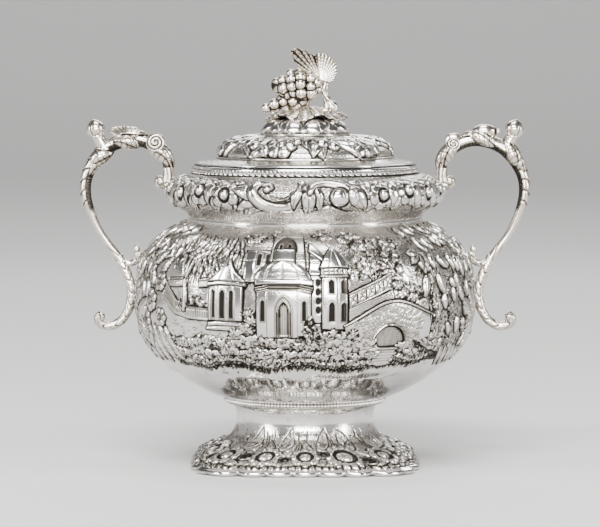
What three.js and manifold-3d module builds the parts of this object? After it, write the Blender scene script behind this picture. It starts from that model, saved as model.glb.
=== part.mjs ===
// A two-handled silver sugar bowl with a lift-off cover, on a square pierced foot.
// Millimetres, +Z up. The origin is the middle of the foot's underside, the handles lie along X,
// and the front faces -Y.
import * as THREE from "three";
import { mergeVertices } from "three/addons/utils/BufferGeometryUtils.js";
import Module from "manifold-3d";

const wasm = await Module();
wasm.setup();

// ---- Driving dimensions ----
const SHEET = 1; // wall of the raised and spun sheet
const SOLDER_GAP = 0.3; // space a casting keeps to what it is soldered to
const FACETS = 36; // facets round the turned pieces

const foot = {
  halfWidth: 57.6, // middle of a side to the axis
  squareness: 3.6, // power of the rounded square
  lobes: 24,
  lobeDepth: 0.7,
  tabReach: 1.2, // how far the smooth corner tabs stand out
  tabHalfAngle: 0.17,
  edgeHeight: 3.4,
  edgeWidth: 3.6,
  flangeHeight: 11.2, // top of the flange above the edge wire
  flangeInner: 40,
  waistRadius: 35.6,
  waistHeight: 25,
  facets: 96,
};
const piercing = { count: 16, radius: 1.8, alternate: 2.2, fromEdge: 8.5 };
const seat = { radius: 41, height: 35, wireHeight: 1.6, wireStand: 0.6, wireDepth: 3.4 };
const belly = { radius: 87.5, height: seat.height + 52 };
const neck = { radius: 60.6, height: belly.height + 42.2 };
const collar = { radius: 71.2, height: neck.height + 14.6 };
const mouth = {
  radius: 57.6,
  height: collar.height + 9.4,
  rimHeight: 3.1,
  rimOuter: 58.8,
  rimInner: 54.5,
};
const cover = {
  lift: 0.2, // play between the cover and the rim
  radius: 56.6,
  edge: 0.9,
  waistRadius: 46.2,
  domeRadius: 43.5,
  domeHeight: 16.2,
  capRadius: 24.6,
  capHeight: 24.6,
  bezelPlay: 0.5,
  bezelWall: 1,
  bezelDepth: 8,
};
const handle = {
  reach: belly.radius + 26.4, // the outermost part of the branch's centre line
  crest: mouth.height + mouth.rimHeight + 13.1, // its highest
  stemRadius: 2.3,
  crestRadius: 3.5,
  scrollRadius: 2.4,
  ballRadius: 3.2,
};
const ornament = {
  budRadius: 4.7,
  flowerRadius: 7.3,
  flowerDepth: 4.6,
  roseLarge: 5.1,
  roseSmall: 3.8,
  leafLength: 13,
  leafWidth: 6.4,
};
const finial = {
  plateRadius: 19.5,
  plateWall: 1.3,
  plateLift: 3.6, // how far its ruffles stand off the cap
  grapeRadius: 2.9,
  stemRadius: 1.6,
  vineLeafSize: 13.5,
  vineLeafWall: 1.3,
};

const SILVER = { color: 0xd9d6d0, metalness: 1, roughness: 0.22 };
const CAST_SILVER = { color: 0xcfc9be, metalness: 1, roughness: 0.3 };

// ---- Solids ----

// A closed three.js geometry as a manifold-3d solid with its faces turned outwards.
function toSolid(geometry) {
  const bare = geometry.index ? geometry.toNonIndexed() : geometry.clone();
  bare.deleteAttribute("normal");
  bare.deleteAttribute("uv");
  const merged = mergeVertices(bare, 1e-4);
  const vertProperties = new Float32Array(merged.attributes.position.array);
  const triVerts = new Uint32Array(merged.index.array);
  const made = new wasm.Manifold(new wasm.Mesh({ numProp: 3, vertProperties, triVerts }));
  if (made.volume() >= 0) return made;
  for (let i = 0; i < triVerts.length; i += 3) {
    [triVerts[i + 1], triVerts[i + 2]] = [triVerts[i + 2], triVerts[i + 1]];
  }
  return new wasm.Manifold(new wasm.Mesh({ numProp: 3, vertProperties, triVerts }));
}

function toGeometry(solid) {
  const made = solid.getMesh();
  const positions = new Float32Array(made.numVert * 3);
  for (let i = 0; i < made.numVert; i++) {
    const at = i * made.numProp;
    positions.set(made.vertProperties.subarray(at, at + 3), i * 3);
  }
  return new THREE.BufferGeometry()
    .setAttribute("position", new THREE.BufferAttribute(positions, 3))
    .setIndex(new THREE.BufferAttribute(new Uint32Array(made.triVerts), 1));
}

function piece(name, solid, finish = SILVER) {
  const geometry = toGeometry(solid);
  geometry.computeVertexNormals();
  const mesh = new THREE.Mesh(geometry, new THREE.MeshStandardMaterial(finish));
  mesh.name = name;
  return mesh;
}

const union = (...solids) => solids.reduce((a, b) => a.add(b));

// A closed [radius, height] outline turned about Z.
function turned(outline, facets = FACETS) {
  const points = outline.map(([r, z]) => new THREE.Vector2(r, z));
  return new THREE.LatheGeometry(points, facets).rotateX(Math.PI / 2);
}

// A smooth run of [radius, height] points through the given ones.
function smooth(points, divisions) {
  const through = points.map(([r, z]) => new THREE.Vector3(r, z, 0));
  const curve = new THREE.CatmullRomCurve3(through, false, "centripetal");
  return curve.getPoints(divisions).map((p) => [p.x, p.y]);
}

// The same run moved to its left by distance: towards the axis where it climbs.
// The first and last points keep their height, so that seams stay level.
function offset(run, distance) {
  return run.map(([r, z], i) => {
    const [r0, z0] = run[Math.max(i - 1, 0)];
    const [r1, z1] = run[Math.min(i + 1, run.length - 1)];
    const length = Math.hypot(r1 - r0, z1 - z0);
    const moved = [r - (distance * (z1 - z0)) / length, z + (distance * (r1 - r0)) / length];
    const isEnd = i === 0 || i === run.length - 1;
    return isEnd ? [r - distance * Math.sign(z1 - z0), z] : moved;
  });
}

// A sheet wall that follows the run, closed on itself.
function wall(run, thickness = SHEET) {
  const outline = [...run, ...offset(run, thickness).reverse()];
  return [...outline, outline[0]];
}

// The radius of a run at a height.
function radiusAt(run, height) {
  const i = run.findIndex(([, z]) => z >= height);
  if (i <= 0) return run[i < 0 ? run.length - 1 : 0][0];
  const [[r0, z0], [r1, z1]] = [run[i - 1], run[i]];
  return r0 + ((r1 - r0) * (height - z0)) / (z1 - z0);
}

// The height of a run that goes outwards from the axis, at a radius.
function heightAt(run, radius) {
  const i = run.findIndex(([r]) => r >= radius);
  if (i <= 0) return run[i < 0 ? run.length - 1 : 0][1];
  const [[r0, z0], [r1, z1]] = [run[i - 1], run[i]];
  return z0 + ((z1 - z0) * (radius - r0)) / (r1 - r0);
}

const mix = (a, b, share) => a + (b - a) * share;

// ---- The bowl ----

// Shares run from the seat to the belly's widest ring, then from there to the neck.
const bellyLower = (out, up) => [
  mix(seat.radius, belly.radius, out),
  mix(seat.height, belly.height, up),
];
const bellyUpper = (out, up) => [
  mix(neck.radius, belly.radius, out),
  mix(belly.height, neck.height, up),
];
const bellyRun = smooth(
  [
    bellyLower(0, 0),
    bellyLower(0.44, 0.19),
    bellyLower(0.78, 0.43),
    bellyLower(0.95, 0.68),
    bellyLower(1, 1),
    bellyUpper(0.97, 0.33),
    bellyUpper(0.83, 0.58),
    bellyUpper(0.61, 0.79),
    bellyUpper(0.31, 0.89),
    bellyUpper(0.08, 0.93),
    bellyUpper(0, 1),
  ],
  16,
);
const collarRun = smooth(
  [
    [neck.radius, neck.height],
    [mix(neck.radius, collar.radius, 0.22), mix(neck.height, collar.height, 0.25)],
    [mix(neck.radius, collar.radius, 0.8), mix(neck.height, collar.height, 0.6)],
    [collar.radius, collar.height],
    [mix(mouth.radius, collar.radius, 0.8), mix(collar.height, mouth.height, 0.6)],
    [mix(mouth.radius, collar.radius, 0.25), mix(collar.height, mouth.height, 0.88)],
    [mouth.radius, mouth.height],
  ],
  9,
);

function bowlBelly() {
  const inner = offset(bellyRun, SHEET).reverse();
  inner[inner.length - 1] = [seat.radius, seat.height + SHEET];
  return toSolid(
    turned([[0, seat.height], ...bellyRun, ...inner, [0, seat.height + SHEET]]),
  );
}

function rimWire() {
  const top = mouth.height + mouth.rimHeight;
  const swell = 0.4;
  const middle = mouth.height + mouth.rimHeight / 2;
  return toSolid(
    turned([
      [mouth.rimInner, mouth.height],
      [mouth.rimOuter - swell, mouth.height],
      [mouth.rimOuter, middle],
      [mouth.rimOuter - swell, top],
      [mouth.rimInner, top],
      [mouth.rimInner, mouth.height],
    ]),
  );
}

function jointWire() {
  const low = seat.height - seat.wireHeight;
  const out = seat.radius + seat.wireStand;
  const middle = seat.height - seat.wireHeight / 2;
  return toSolid(
    turned([
      [seat.radius - seat.wireDepth, low],
      [seat.radius, low],
      [out, middle],
      [seat.radius, seat.height],
      [seat.radius - seat.wireDepth, seat.height],
      [seat.radius - seat.wireDepth, low],
    ]),
  );
}

// ---- The foot ----

// The radius of the foot's outline at an angle: a rounded square with scalloped sides and a
// smooth tab at each corner.
function footOutline(angle) {
  const { halfWidth, squareness, lobes, lobeDepth, tabReach, tabHalfAngle } = foot;
  const c = Math.abs(Math.cos(angle)) ** squareness;
  const s = Math.abs(Math.sin(angle)) ** squareness;
  const square = halfWidth / (c + s) ** (1 / squareness);
  const quarter = Math.PI / 2;
  const fromCorner = Math.abs((((angle % quarter) + quarter) % quarter) - quarter / 2);
  const tab = 1 - THREE.MathUtils.smoothstep(fromCorner, tabHalfAngle * 0.7, tabHalfAngle * 1.3);
  return square + mix(lobeDepth * Math.cos(lobes * angle), tabReach, tab);
}

// Stretches a turned geometry so that the radius halfWidth follows the outline and inner stays round.
function squareOff(geometry, inner) {
  const at = geometry.attributes.position;
  for (let i = 0; i < at.count; i++) {
    const [x, y] = [at.getX(i), at.getY(i)];
    const r = Math.hypot(x, y);
    if (r > inner) {
      const angle = Math.atan2(y, x);
      const stretched = inner + ((r - inner) * (footOutline(angle) - inner)) / (foot.halfWidth - inner);
      at.setXY(i, stretched * Math.cos(angle), stretched * Math.sin(angle));
    }
  }
  return geometry;
}

const flangeTop = foot.edgeHeight + foot.flangeHeight;
const spoolRun = smooth(
  [
    [foot.flangeInner, flangeTop],
    [mix(foot.waistRadius, foot.flangeInner, 0.35), mix(flangeTop, foot.waistHeight, 0.4)],
    [foot.waistRadius, foot.waistHeight],
    [mix(foot.waistRadius, seat.radius, 0.3), mix(foot.waistHeight, seat.height, 0.55)],
    [seat.radius - seat.wireStand, seat.height - seat.wireHeight],
  ],
  7,
);
const flangeDrop = (out, down) => [
  mix(foot.flangeInner, foot.halfWidth - foot.edgeWidth * 0.35, out),
  mix(flangeTop, foot.edgeHeight + SHEET, down),
];

function footFlange() {
  const top = [
    flangeDrop(0, 0),
    flangeDrop(0.3, 0.26),
    flangeDrop(0.62, 0.58),
    flangeDrop(0.86, 0.78),
    flangeDrop(1, 1),
  ];
  const under = top.map(([r, z]) => [r, z - SHEET]).reverse();
  under[under.length - 1] = [foot.flangeInner - SHEET, flangeTop - SHEET];
  under.splice(1, 0, [foot.halfWidth - foot.edgeWidth * 0.8, foot.edgeHeight]);
  const outline = [[foot.flangeInner - SHEET, flangeTop], ...top, ...under];
  const sheet = turned([...outline, outline[0]], foot.facets);
  let solid = toSolid(squareOff(sheet, foot.flangeInner));
  for (let k = 0; k < piercing.count; k++) {
    const angle = ((k + 0.5) * 2 * Math.PI) / piercing.count;
    const inset = piercing.fromEdge + (k % 2 ? -1 : 1) * piercing.alternate;
    const from = footOutline(angle) - inset;
    const punch = new THREE.CylinderGeometry(piercing.radius, piercing.radius, flangeTop * 3, 12)
      .rotateX(Math.PI / 2)
      .translate(from * Math.cos(angle), from * Math.sin(angle), 0);
    solid = solid.subtract(toSolid(punch));
  }
  return solid;
}

function footEdgeWire() {
  const { halfWidth, edgeWidth, edgeHeight, facets } = foot;
  const outline = [
    [halfWidth - edgeWidth, 0],
    [halfWidth - 0.5, 0],
    [halfWidth, edgeHeight * 0.35],
    [halfWidth - 0.7, edgeHeight * 0.8],
    [halfWidth - edgeWidth * 0.35, edgeHeight],
    [halfWidth - edgeWidth, edgeHeight],
  ];
  return toSolid(squareOff(turned([...outline, outline[0]], facets), foot.flangeInner));
}

// ---- The cover ----

const coverSeat = mouth.height + mouth.rimHeight + cover.lift;
const coverRun = smooth(
  [
    [0, coverSeat + cover.capHeight],
    [cover.capRadius * 0.55, coverSeat + cover.capHeight - 0.5],
    [cover.capRadius * 0.87, mix(coverSeat + cover.domeHeight, coverSeat + cover.capHeight, 0.66)],
    [cover.capRadius, coverSeat + cover.domeHeight + 1.2],
    [cover.capRadius + 6, coverSeat + cover.domeHeight - 0.2],
    [cover.domeRadius - 5, coverSeat + cover.domeHeight - 1.4],
    [cover.domeRadius, coverSeat + cover.domeHeight * 0.68],
    [cover.waistRadius, coverSeat + cover.domeHeight * 0.38],
    [mix(cover.waistRadius, cover.radius, 0.3), coverSeat + cover.edge + 2.2],
    [mix(cover.waistRadius, cover.radius, 0.65), coverSeat + cover.edge + 0.9],
    [cover.radius, coverSeat + cover.edge],
  ],
  15,
);
const bezelRadius = mouth.rimInner - cover.bezelPlay;

// The cover is flat under its flange, where the bezel joins it.
function coverDome() {
  const flatInner = bezelRadius - cover.bezelWall - 0.6;
  const under = offset(coverRun, -cover.edge).filter(([r]) => r < flatInner - 1);
  under[0] = [0, coverSeat + cover.capHeight - cover.edge];
  const outline = [...coverRun, [cover.radius, coverSeat], [flatInner, coverSeat]];
  return toSolid(turned([...outline, ...under.reverse()]));
}

function coverBezel() {
  const low = mouth.height + mouth.rimHeight - cover.bezelDepth;
  const outline = [
    [bezelRadius - cover.bezelWall, low],
    [bezelRadius, low],
    [bezelRadius, coverSeat],
    [bezelRadius - cover.bezelWall, coverSeat],
  ];
  return toSolid(turned([...outline, outline[0]]));
}

// ---- Castings ----

// A round rod that follows a path of [x, z] points, as thick as radius(share) says.
// It is a lathed rod bent along the path, with blunt ends.
function rod(path, radius, { steps = 8, grow = 0 } = {}) {
  const through = path.map(([x, z]) => new THREE.Vector3(x, 0, z));
  const curve = new THREE.CatmullRomCurve3(through, false, "centripetal");
  const across = new THREE.Vector3(0, 1, 0);
  const profile = [new THREE.Vector2(0, 0)];
  for (let i = 0; i <= steps; i++) {
    const share = i / steps;
    const isEnd = i === 0 || i === steps;
    const along = THREE.MathUtils.clamp(share, 0.004, 0.996);
    profile.push(new THREE.Vector2((radius(share) + grow) * (isEnd ? 0.75 : 1), along));
  }
  profile.push(new THREE.Vector2(0, 1));
  const geometry = new THREE.LatheGeometry(profile, 8);
  const at = geometry.attributes.position;
  for (let i = 0; i < at.count; i++) {
    const share = at.getY(i);
    const middle = curve.getPointAt(share);
    const ahead = curve.getTangentAt(share);
    middle.addScaledVector(ahead.clone().cross(across), at.getX(i));
    middle.addScaledVector(across, at.getZ(i));
    at.setXYZ(i, middle.x, middle.y, middle.z);
  }
  return toSolid(geometry);
}

// An ellipsoid with the given half axes, tilted about Y.
function egg([x, z], [a, b, c], { y = 0, tilt = 0, grow = 0 } = {}) {
  const geometry = new THREE.SphereGeometry(1, 9, 6)
    .scale(a + grow, b + grow, c + grow)
    .rotateY(tilt)
    .translate(x, y, z);
  return toSolid(geometry);
}

const ball = (at, radius, options) => egg(at, [radius, radius, radius], options);

// The biggest of the bodies that a cut leaves.
function largest(solid) {
  return solid.decompose().sort((a, b) => b.volume() - a.volume())[0];
}

// Pieces that keep a solder gap to keepOff and to the ones before them. Each maker is
// [name, grow => solid].
function fitted(makers, keepOff) {
  let taken = keepOff;
  return makers.map(([name, make]) => {
    const solid = largest(make(0).subtract(taken));
    taken = taken.add(make(SOLDER_GAP));
    return piece(name, solid, CAST_SILVER);
  });
}

// Everything inside the bowl's outer wall, with room for solder round it.
function bowlClearance() {
  const grown = (run) => offset(run, -SOLDER_GAP);
  const run = [...grown(bellyRun), ...grown(collarRun).slice(1)];
  return toSolid(turned([[0, run[0][1]], ...run, [0, run[run.length - 1][1]]]));
}

// ---- The handles, made on the +X side ----

const joinHeight = mix(collar.height, mouth.height, 0.55);
const collarWall = radiusAt(collarRun, joinHeight);
const forkHeight = belly.height + 20;
const bellyWall = radiusAt(bellyRun, forkHeight);
const arch = (out, up) => [mix(collarWall, handle.reach, out), mix(joinHeight, handle.crest, up)];
const fall = (out, up) => [mix(bellyWall, handle.reach, out), mix(forkHeight, joinHeight, up)];

const branchStart = arch(0.08, 0.02);
const branchEnd = fall(0.42, 0.02);
const branchPath = [
  branchStart,
  arch(0.1, 0.46),
  arch(0.25, 0.85),
  arch(0.48, 1),
  arch(0.76, 0.79),
  arch(0.96, 0.22),
  fall(1, 0.84),
  fall(0.8, 0.4),
  branchEnd,
];
const scrollPath = [
  [branchEnd[0] - 0.8, branchEnd[1] - handle.stemRadius],
  [belly.radius + 5.2, belly.height + 12.5],
  [belly.radius + handle.scrollRadius + 0.5, belly.height + 4],
  [belly.radius + 4.4, belly.height - 6.4],
  [belly.radius + 9.4, belly.height - 13.6],
  [belly.radius + 15.6, belly.height - 14.6],
];
const scrollBall = [belly.radius + 18.3, belly.height - 12.6];
const strutPath = [
  [branchEnd[0] - 2.4, branchEnd[1] - 1.6],
  [branchEnd[0] - 5, branchEnd[1] - 2.6],
  [bellyWall + 3, forkHeight - 0.4],
  [bellyWall - 1.5, forkHeight + 3],
];
const strutKnob = [bellyWall + 3.6, forkHeight + 5];
const budAt = arch(0.92, 1.32);
const topAt = arch(0.54, 1.25);
const roseAt = arch(0.2, 0.97);

// Swells where the branch arches over.
function branchRadius(share) {
  const swell = Math.exp(-(((share - 0.25) / 0.2) ** 2));
  return mix(handle.stemRadius, handle.crestRadius, swell);
}

function volute(grow) {
  const middle = [branchStart[0] + 4, branchStart[1] - 1.6];
  const root = [branchStart[0] - 0.4, branchStart[1] - 3.2];
  return union(
    ball(middle, handle.ballRadius, { grow }),
    rod([middle, root], () => 2.1, { steps: 3, grow }),
  );
}

function lowerScroll(grow) {
  const thickness = (share) => mix(handle.scrollRadius, 2, share);
  return union(
    rod(scrollPath, thickness, { steps: 16, grow }),
    ball(scrollBall, handle.ballRadius, { grow }),
  );
}

function bellyStrut(grow) {
  return union(
    rod(strutPath, () => 1.7, { steps: 7, grow }),
    rod([strutPath[2], strutKnob], () => 1.3, { steps: 3, grow }),
    ball(strutKnob, 1.8, { grow }),
  );
}

// A shallow cup of petals that opens upwards.
function openFlower(grow) {
  const [r, d] = [ornament.flowerRadius + grow, ornament.flowerDepth + grow];
  const cup = turned(
    [[0, -d], [r * 0.45, -d * 0.8], [r * 0.9, -d * 0.3], [r, grow], [r * 0.8, grow], [0, -d * 0.35]],
    14,
  );
  return toSolid(cup.translate(topAt[0], 0, topAt[1] + 1));
}

function closedBud(grow) {
  const r = ornament.flowerRadius;
  return egg([topAt[0], topAt[1] - 1], [r, r * 0.5, r * 0.4], { tilt: 0.1, grow });
}

// A rose on the side of the branch that side gives, -1 or 1 along Y.
function rose(radius, side, grow) {
  const [outer, inner] = side > 0 ? [0.8, 1] : [1, 0.8];
  const disc = new THREE.CylinderGeometry(radius * outer + grow, radius * inner + grow, 3.2 + 2 * grow, 14);
  return toSolid(disc.translate(roseAt[0], side * (handle.crestRadius + 0.8), roseAt[1]));
}

// Leaves that wrap the branch: each is [share out, share up, tilt, side].
const wrapLeaves = [
  [0.13, 0.55, 1.2, -1],
  [0.4, 0.97, 0.3, 1],
  [0.72, 0.86, -0.6, -1],
  [0.92, 0.42, -1.2, 1],
].map(([out, up, tilt, side], i) => {
  const halves = [ornament.leafLength / 2, ornament.leafWidth / 3, ornament.leafWidth / 2];
  const y = side * handle.crestRadius * 0.8;
  return [`leaf_${i + 1}`, (grow) => egg(arch(out, up), halves, { y, tilt, grow })];
});

// front is the side of the branch that faces the bowl's front, -1 or 1 along Y.
function handleNodes(prefix, front, [topName, topMaker], frontRose, backRose) {
  const budHalves = [ornament.budRadius, ornament.budRadius, ornament.budRadius * 1.1];
  const makers = [
    ["branch", (grow) => rod(branchPath, branchRadius, { steps: 28, grow })],
    ["volute", volute],
    ["lower_scroll", lowerScroll],
    ["belly_strut", bellyStrut],
    ["bud", (grow) => egg(budAt, budHalves, { tilt: -0.5, grow })],
    ["bud_stalk", (grow) => rod([arch(0.79, 0.78), budAt], () => 2.5, { steps: 3, grow })],
    [topName, topMaker],
    ["front_rose", (grow) => rose(frontRose, front, grow)],
    ["back_rose", (grow) => rose(backRose, -front, grow)],
    ...wrapLeaves,
  ];
  const named = makers.map(([name, make]) => [`${prefix}_handle_${name}`, make]);
  return fitted(named, bowlClearance());
}

// ---- The finial ----

const crown = coverSeat + cover.capHeight; // top of the cover's cap

// Everything inside the cover's outer wall, with room for solder round it.
function coverClearance() {
  const run = offset(coverRun, SOLDER_GAP);
  run[0] = [0, crown + SOLDER_GAP];
  return toSolid(turned([...run, [cover.radius, coverSeat], [0, coverSeat]]));
}

// A vine leaf that drapes over the cap, with five ruffles round its edge.
function leafPlate(grow) {
  const { plateRadius: r, plateWall, plateLift } = finial;
  const half = plateWall / 2 + grow;
  const top = [[0, half], [r * 0.35, half], [r * 0.7, half], [r + grow, half * 0.7]];
  const under = top.map(([x, z]) => [x, -z]).reverse();
  const geometry = turned([...top, ...under], 25);
  const at = geometry.attributes.position;
  for (let i = 0; i < at.count; i++) {
    const [x, y, z] = [at.getX(i), at.getY(i) * 0.85, at.getZ(i)];
    const out = Math.hypot(x, y);
    const ruffle = (plateLift / 2) * (1 + Math.sin(5 * Math.atan2(y, x))) * (out / r) ** 2;
    at.setXYZ(i, x, y, z + heightAt(coverRun, out) + ruffle + plateWall / 2 + 2 * SOLDER_GAP);
  }
  return toSolid(geometry);
}

// The bunch hangs towards -X. Each ring of grapes is [share along, ring radius, count].
const bunch = {
  top: [6, crown + 19.5],
  tip: [-19, crown + 5.4],
  root: [-3, crown + 1.6],
  rings: [
    [0.02, 3.8, 5],
    [0.2, 5.9, 7],
    [0.4, 6.2, 7],
    [0.6, 4.8, 6],
    [0.78, 2.7, 4],
  ],
};

function grapes(grow) {
  const { top, tip, root, rings } = bunch;
  const length = Math.hypot(tip[0] - top[0], tip[1] - top[1]);
  const across = [(top[1] - tip[1]) / length, (tip[0] - top[0]) / length];
  const middle = (along) => [mix(top[0], tip[0], along), mix(top[1], tip[1], along)];
  const grape = (x, y, z) => {
    const sphere = new THREE.SphereGeometry(finial.grapeRadius + grow, 6, 4);
    return toSolid(sphere.translate(x, y, z));
  };
  const last = middle(0.86);
  const parts = [
    rod([middle(0.02), last], (share) => mix(4.6, 2.4, share), { steps: 4, grow }),
    rod([middle(0.45), root], () => 3, { steps: 2, grow }),
    grape(tip[0], 0, tip[1]),
    grape(last[0], 0, last[1] + 1),
  ];
  rings.forEach(([along, ring, count], row) => {
    const [x, z] = middle(along);
    for (let k = 0; k < count; k++) {
      const angle = ((k + (row % 2) / 2) * 2 * Math.PI) / count;
      const rise = ring * Math.sin(angle);
      parts.push(grape(x - across[0] * rise, ring * Math.cos(angle), z - across[1] * rise));
    }
  });
  return union(...parts);
}

const stemFoot = [10.4, crown + 1.2];
const stemTop = [12.2, crown + 17.6];
const stemPath = [stemFoot, [11.6, crown + 7.5], [9.6, crown + 13], stemTop];
const stemRadius = (share) => mix(finial.stemRadius * 1.35, finial.stemRadius, share);

// The upright vine leaf: two lobes cut from sheet. Each is [turn, length, half width].
function vineLeaf(grow) {
  const { vineLeafSize: size, vineLeafWall } = finial;
  const lobes = [
    [0.72, 1.62, 0.36],
    [-0.35, 1.35, 0.5],
  ];
  const sheets = lobes.map(([turn, long, wide]) => {
    const at = (share, side) => [side * wide * size, share * long * size];
    const shape = new THREE.Shape();
    shape.bezierCurveTo(...at(0.3, 1.3), ...at(1.1, 1.1), ...at(1.05, 0));
    shape.bezierCurveTo(...at(1.1, -1.1), ...at(0.3, -1.3), 0, 0);
    const depth = vineLeafWall + 2 * grow;
    const sheet = new THREE.ExtrudeGeometry(shape, { depth, bevelEnabled: false, curveSegments: 5 });
    return toSolid(sheet.translate(0, 0, -depth / 2).rotateZ(turn));
  });
  const upright = toGeometry(union(...sheets)).rotateX(Math.PI / 2).rotateZ(0.25);
  return toSolid(upright.translate(stemTop[0] - 0.8, 0, stemTop[1] + 1.2));
}

function finialNodes() {
  const makers = [
    ["finial_leaf_plate", leafPlate],
    ["finial_grapes", grapes],
    ["finial_stem", (grow) => rod(stemPath, stemRadius, { steps: 8, grow })],
    ["finial_vine_leaf", vineLeaf],
    [
      "finial_small_leaf",
      (grow) => egg([stemFoot[0] + 4.6, stemFoot[1] + 5], [2, 2.6, 4.2], { tilt: -0.6, grow }),
    ],
  ];
  return fitted(makers, coverClearance());
}

// ---- Assembly ----

function build() {
  const root = new THREE.Group();
  const bowl = new THREE.Group();
  bowl.add(piece("bowl_belly", bowlBelly()));
  bowl.add(piece("bowl_collar", toSolid(turned(wall(collarRun)))));
  bowl.add(piece("rim_wire", rimWire()));
  bowl.add(piece("joint_bead_wire", jointWire()));
  bowl.add(piece("foot_spool", toSolid(turned(wall(spoolRun)))));
  bowl.add(piece("foot_flange", footFlange()));
  bowl.add(piece("foot_edge_wire", footEdgeWire()));
  const { roseLarge, roseSmall } = ornament;
  const right = new THREE.Group();
  right.add(...handleNodes("right", -1, ["closed_bud", closedBud], roseSmall, roseLarge));
  const left = new THREE.Group();
  left.add(...handleNodes("left", 1, ["open_flower", openFlower], roseLarge, roseSmall));
  left.rotation.z = Math.PI;
  const lid = new THREE.Group();
  lid.add(piece("cover_dome", coverDome()));
  lid.add(piece("cover_bezel", coverBezel()));
  lid.add(...finialNodes());
  root.add(bowl, right, left, lid);
  return root;
}

export default build();
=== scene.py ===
"""A covered silver sugar bowl, chased all over, on a square pierced foot.

Everything is in metres once it is a mesh. Sizes here are in millimetres.
"""

import math

import bmesh
import bpy
import numpy as np
from bpy.props import FloatProperty, FloatVectorProperty, IntProperty, PointerProperty
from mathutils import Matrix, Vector


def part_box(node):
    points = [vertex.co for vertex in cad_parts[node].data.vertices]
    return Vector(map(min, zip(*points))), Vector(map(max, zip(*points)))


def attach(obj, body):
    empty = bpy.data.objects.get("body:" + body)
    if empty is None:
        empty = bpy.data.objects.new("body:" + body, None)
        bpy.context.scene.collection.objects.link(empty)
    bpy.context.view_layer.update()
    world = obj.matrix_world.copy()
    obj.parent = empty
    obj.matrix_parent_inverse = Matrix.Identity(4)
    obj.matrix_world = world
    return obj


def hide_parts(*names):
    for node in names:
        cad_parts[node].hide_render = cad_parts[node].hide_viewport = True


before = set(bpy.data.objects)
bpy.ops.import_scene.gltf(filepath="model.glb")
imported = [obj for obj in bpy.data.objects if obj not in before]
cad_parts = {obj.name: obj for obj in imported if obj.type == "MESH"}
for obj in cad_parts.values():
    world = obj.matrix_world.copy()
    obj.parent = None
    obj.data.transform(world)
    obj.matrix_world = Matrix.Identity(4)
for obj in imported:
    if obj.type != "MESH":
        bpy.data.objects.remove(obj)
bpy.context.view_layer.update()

bl_info = {
    "name": "Covered sugar bowl",
    "version": (1, 0, 0),
    "blender": (4, 5, 0),
    "location": "View3D > Sidebar > Sugar bowl",
    "description": "Builds a chased silver sugar bowl with a lift-off cover",
    "category": "Add Mesh",
}

MM = 0.001
TAU = 2 * math.pi


def cad_radius(node):
    """How far a CAD node reaches from the axis, in millimetres."""
    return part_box(node)[1][1] / MM


BELLY_RADIUS = cad_radius("bowl_belly")
COLLAR_RADIUS = cad_radius("bowl_collar")
SHEET = 1.0  # wall of the raised and spun sheet
GRID = 0.4  # spacing of the vertices on chased work
AROUND, AROUND_WIRE, AROUND_INSIDE = 342, 256, 192  # steps round plain pieces, wires and inner walls


# ---- Sizes and colours that can be changed in the sidebar ----


class SilverFinish(bpy.types.PropertyGroup):
    """Colours and gloss of the metal"""

    bright: FloatVectorProperty(
        name="Bright silver",
        description="Colour of the rubbed high spots",
        subtype="COLOR",
        default=(0.75, 0.733, 0.712),
    )
    # Also the colour of the painted shade that some pieces carry in their tarnish attribute.
    dark: FloatVectorProperty(
        name="Tarnish",
        description="Colour of the silver sulphide left in the chasing",
        subtype="COLOR",
        default=(0.009, 0.007, 0.0055),
    )
    gloss: FloatProperty(
        name="Polish roughness",
        description="Roughness of the plain polished surfaces",
        default=0.1,
        min=0.02,
        max=0.6,
    )


class BowlSizes(bpy.types.PropertyGroup):
    """Chasing on the bowl"""

    relief: FloatProperty(
        name="Relief",
        description="How far the chased scene stands out, against its normal depth",
        default=1.0,
        min=0.2,
        max=2.0,
        subtype="FACTOR",
    )
    beads: IntProperty(
        name="Beads",
        description="Beads in the wire at the joint of belly and foot",
        default=150,
        min=40,
        max=300,
    )
    bead_size: FloatProperty(
        name="Bead size",
        description="Diameter of those beads",
        default=0.0017,
        unit="LENGTH",
    )


class CoverSizes(bpy.types.PropertyGroup):
    """The cover's finial"""

    grape: FloatProperty(
        name="Grape radius",
        description="Radius of the biggest grapes",
        default=0.0030,
        unit="LENGTH",
    )
    notches: IntProperty(
        name="Rim notches",
        description="Notches in the rope edge under the cover",
        default=170,
        min=40,
        max=300,
    )


class HandleSizes(bpy.types.PropertyGroup):
    """The branch handles"""

    bark: FloatProperty(
        name="Bark depth",
        description="Depth of the bark on the branch",
        default=0.0005,
        unit="LENGTH",
    )


# ---- Meshes ----


def mesh_object(name, points, faces, normals=None):
    """An object from arrays of points in millimetres and of quads or triangles."""
    mesh = bpy.data.meshes.new(name)
    faces = np.asarray(faces, dtype=np.int32)
    corners = faces.shape[1]
    mesh.vertices.add(len(points))
    mesh.vertices.foreach_set("co", (np.asarray(points, dtype=np.float32) * MM).ravel())
    mesh.loops.add(faces.size)
    mesh.loops.foreach_set("vertex_index", faces.ravel())
    mesh.polygons.add(len(faces))
    mesh.polygons.foreach_set("loop_start", np.arange(0, faces.size, corners, dtype=np.int32))
    mesh.polygons.foreach_set("use_smooth", np.full(len(faces), True))
    mesh.update(calc_edges=True)
    if normals is not None:
        mesh.normals_split_custom_set_from_vertices(np.asarray(normals, dtype=np.float32))
    made = bpy.data.objects.new(name, mesh)
    bpy.context.collection.objects.link(made)
    return made


def set_tarnish_and_shade(thing, values):
    """Stores how dark each vertex is, from 0 to 1, from tarnish and from painted shade, for the silver
    material to read.
    """
    layer = thing.data.attributes.new("tarnish", "FLOAT", "POINT")
    layer.data.foreach_set("value", np.asarray(values, dtype=np.float32).ravel())


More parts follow.
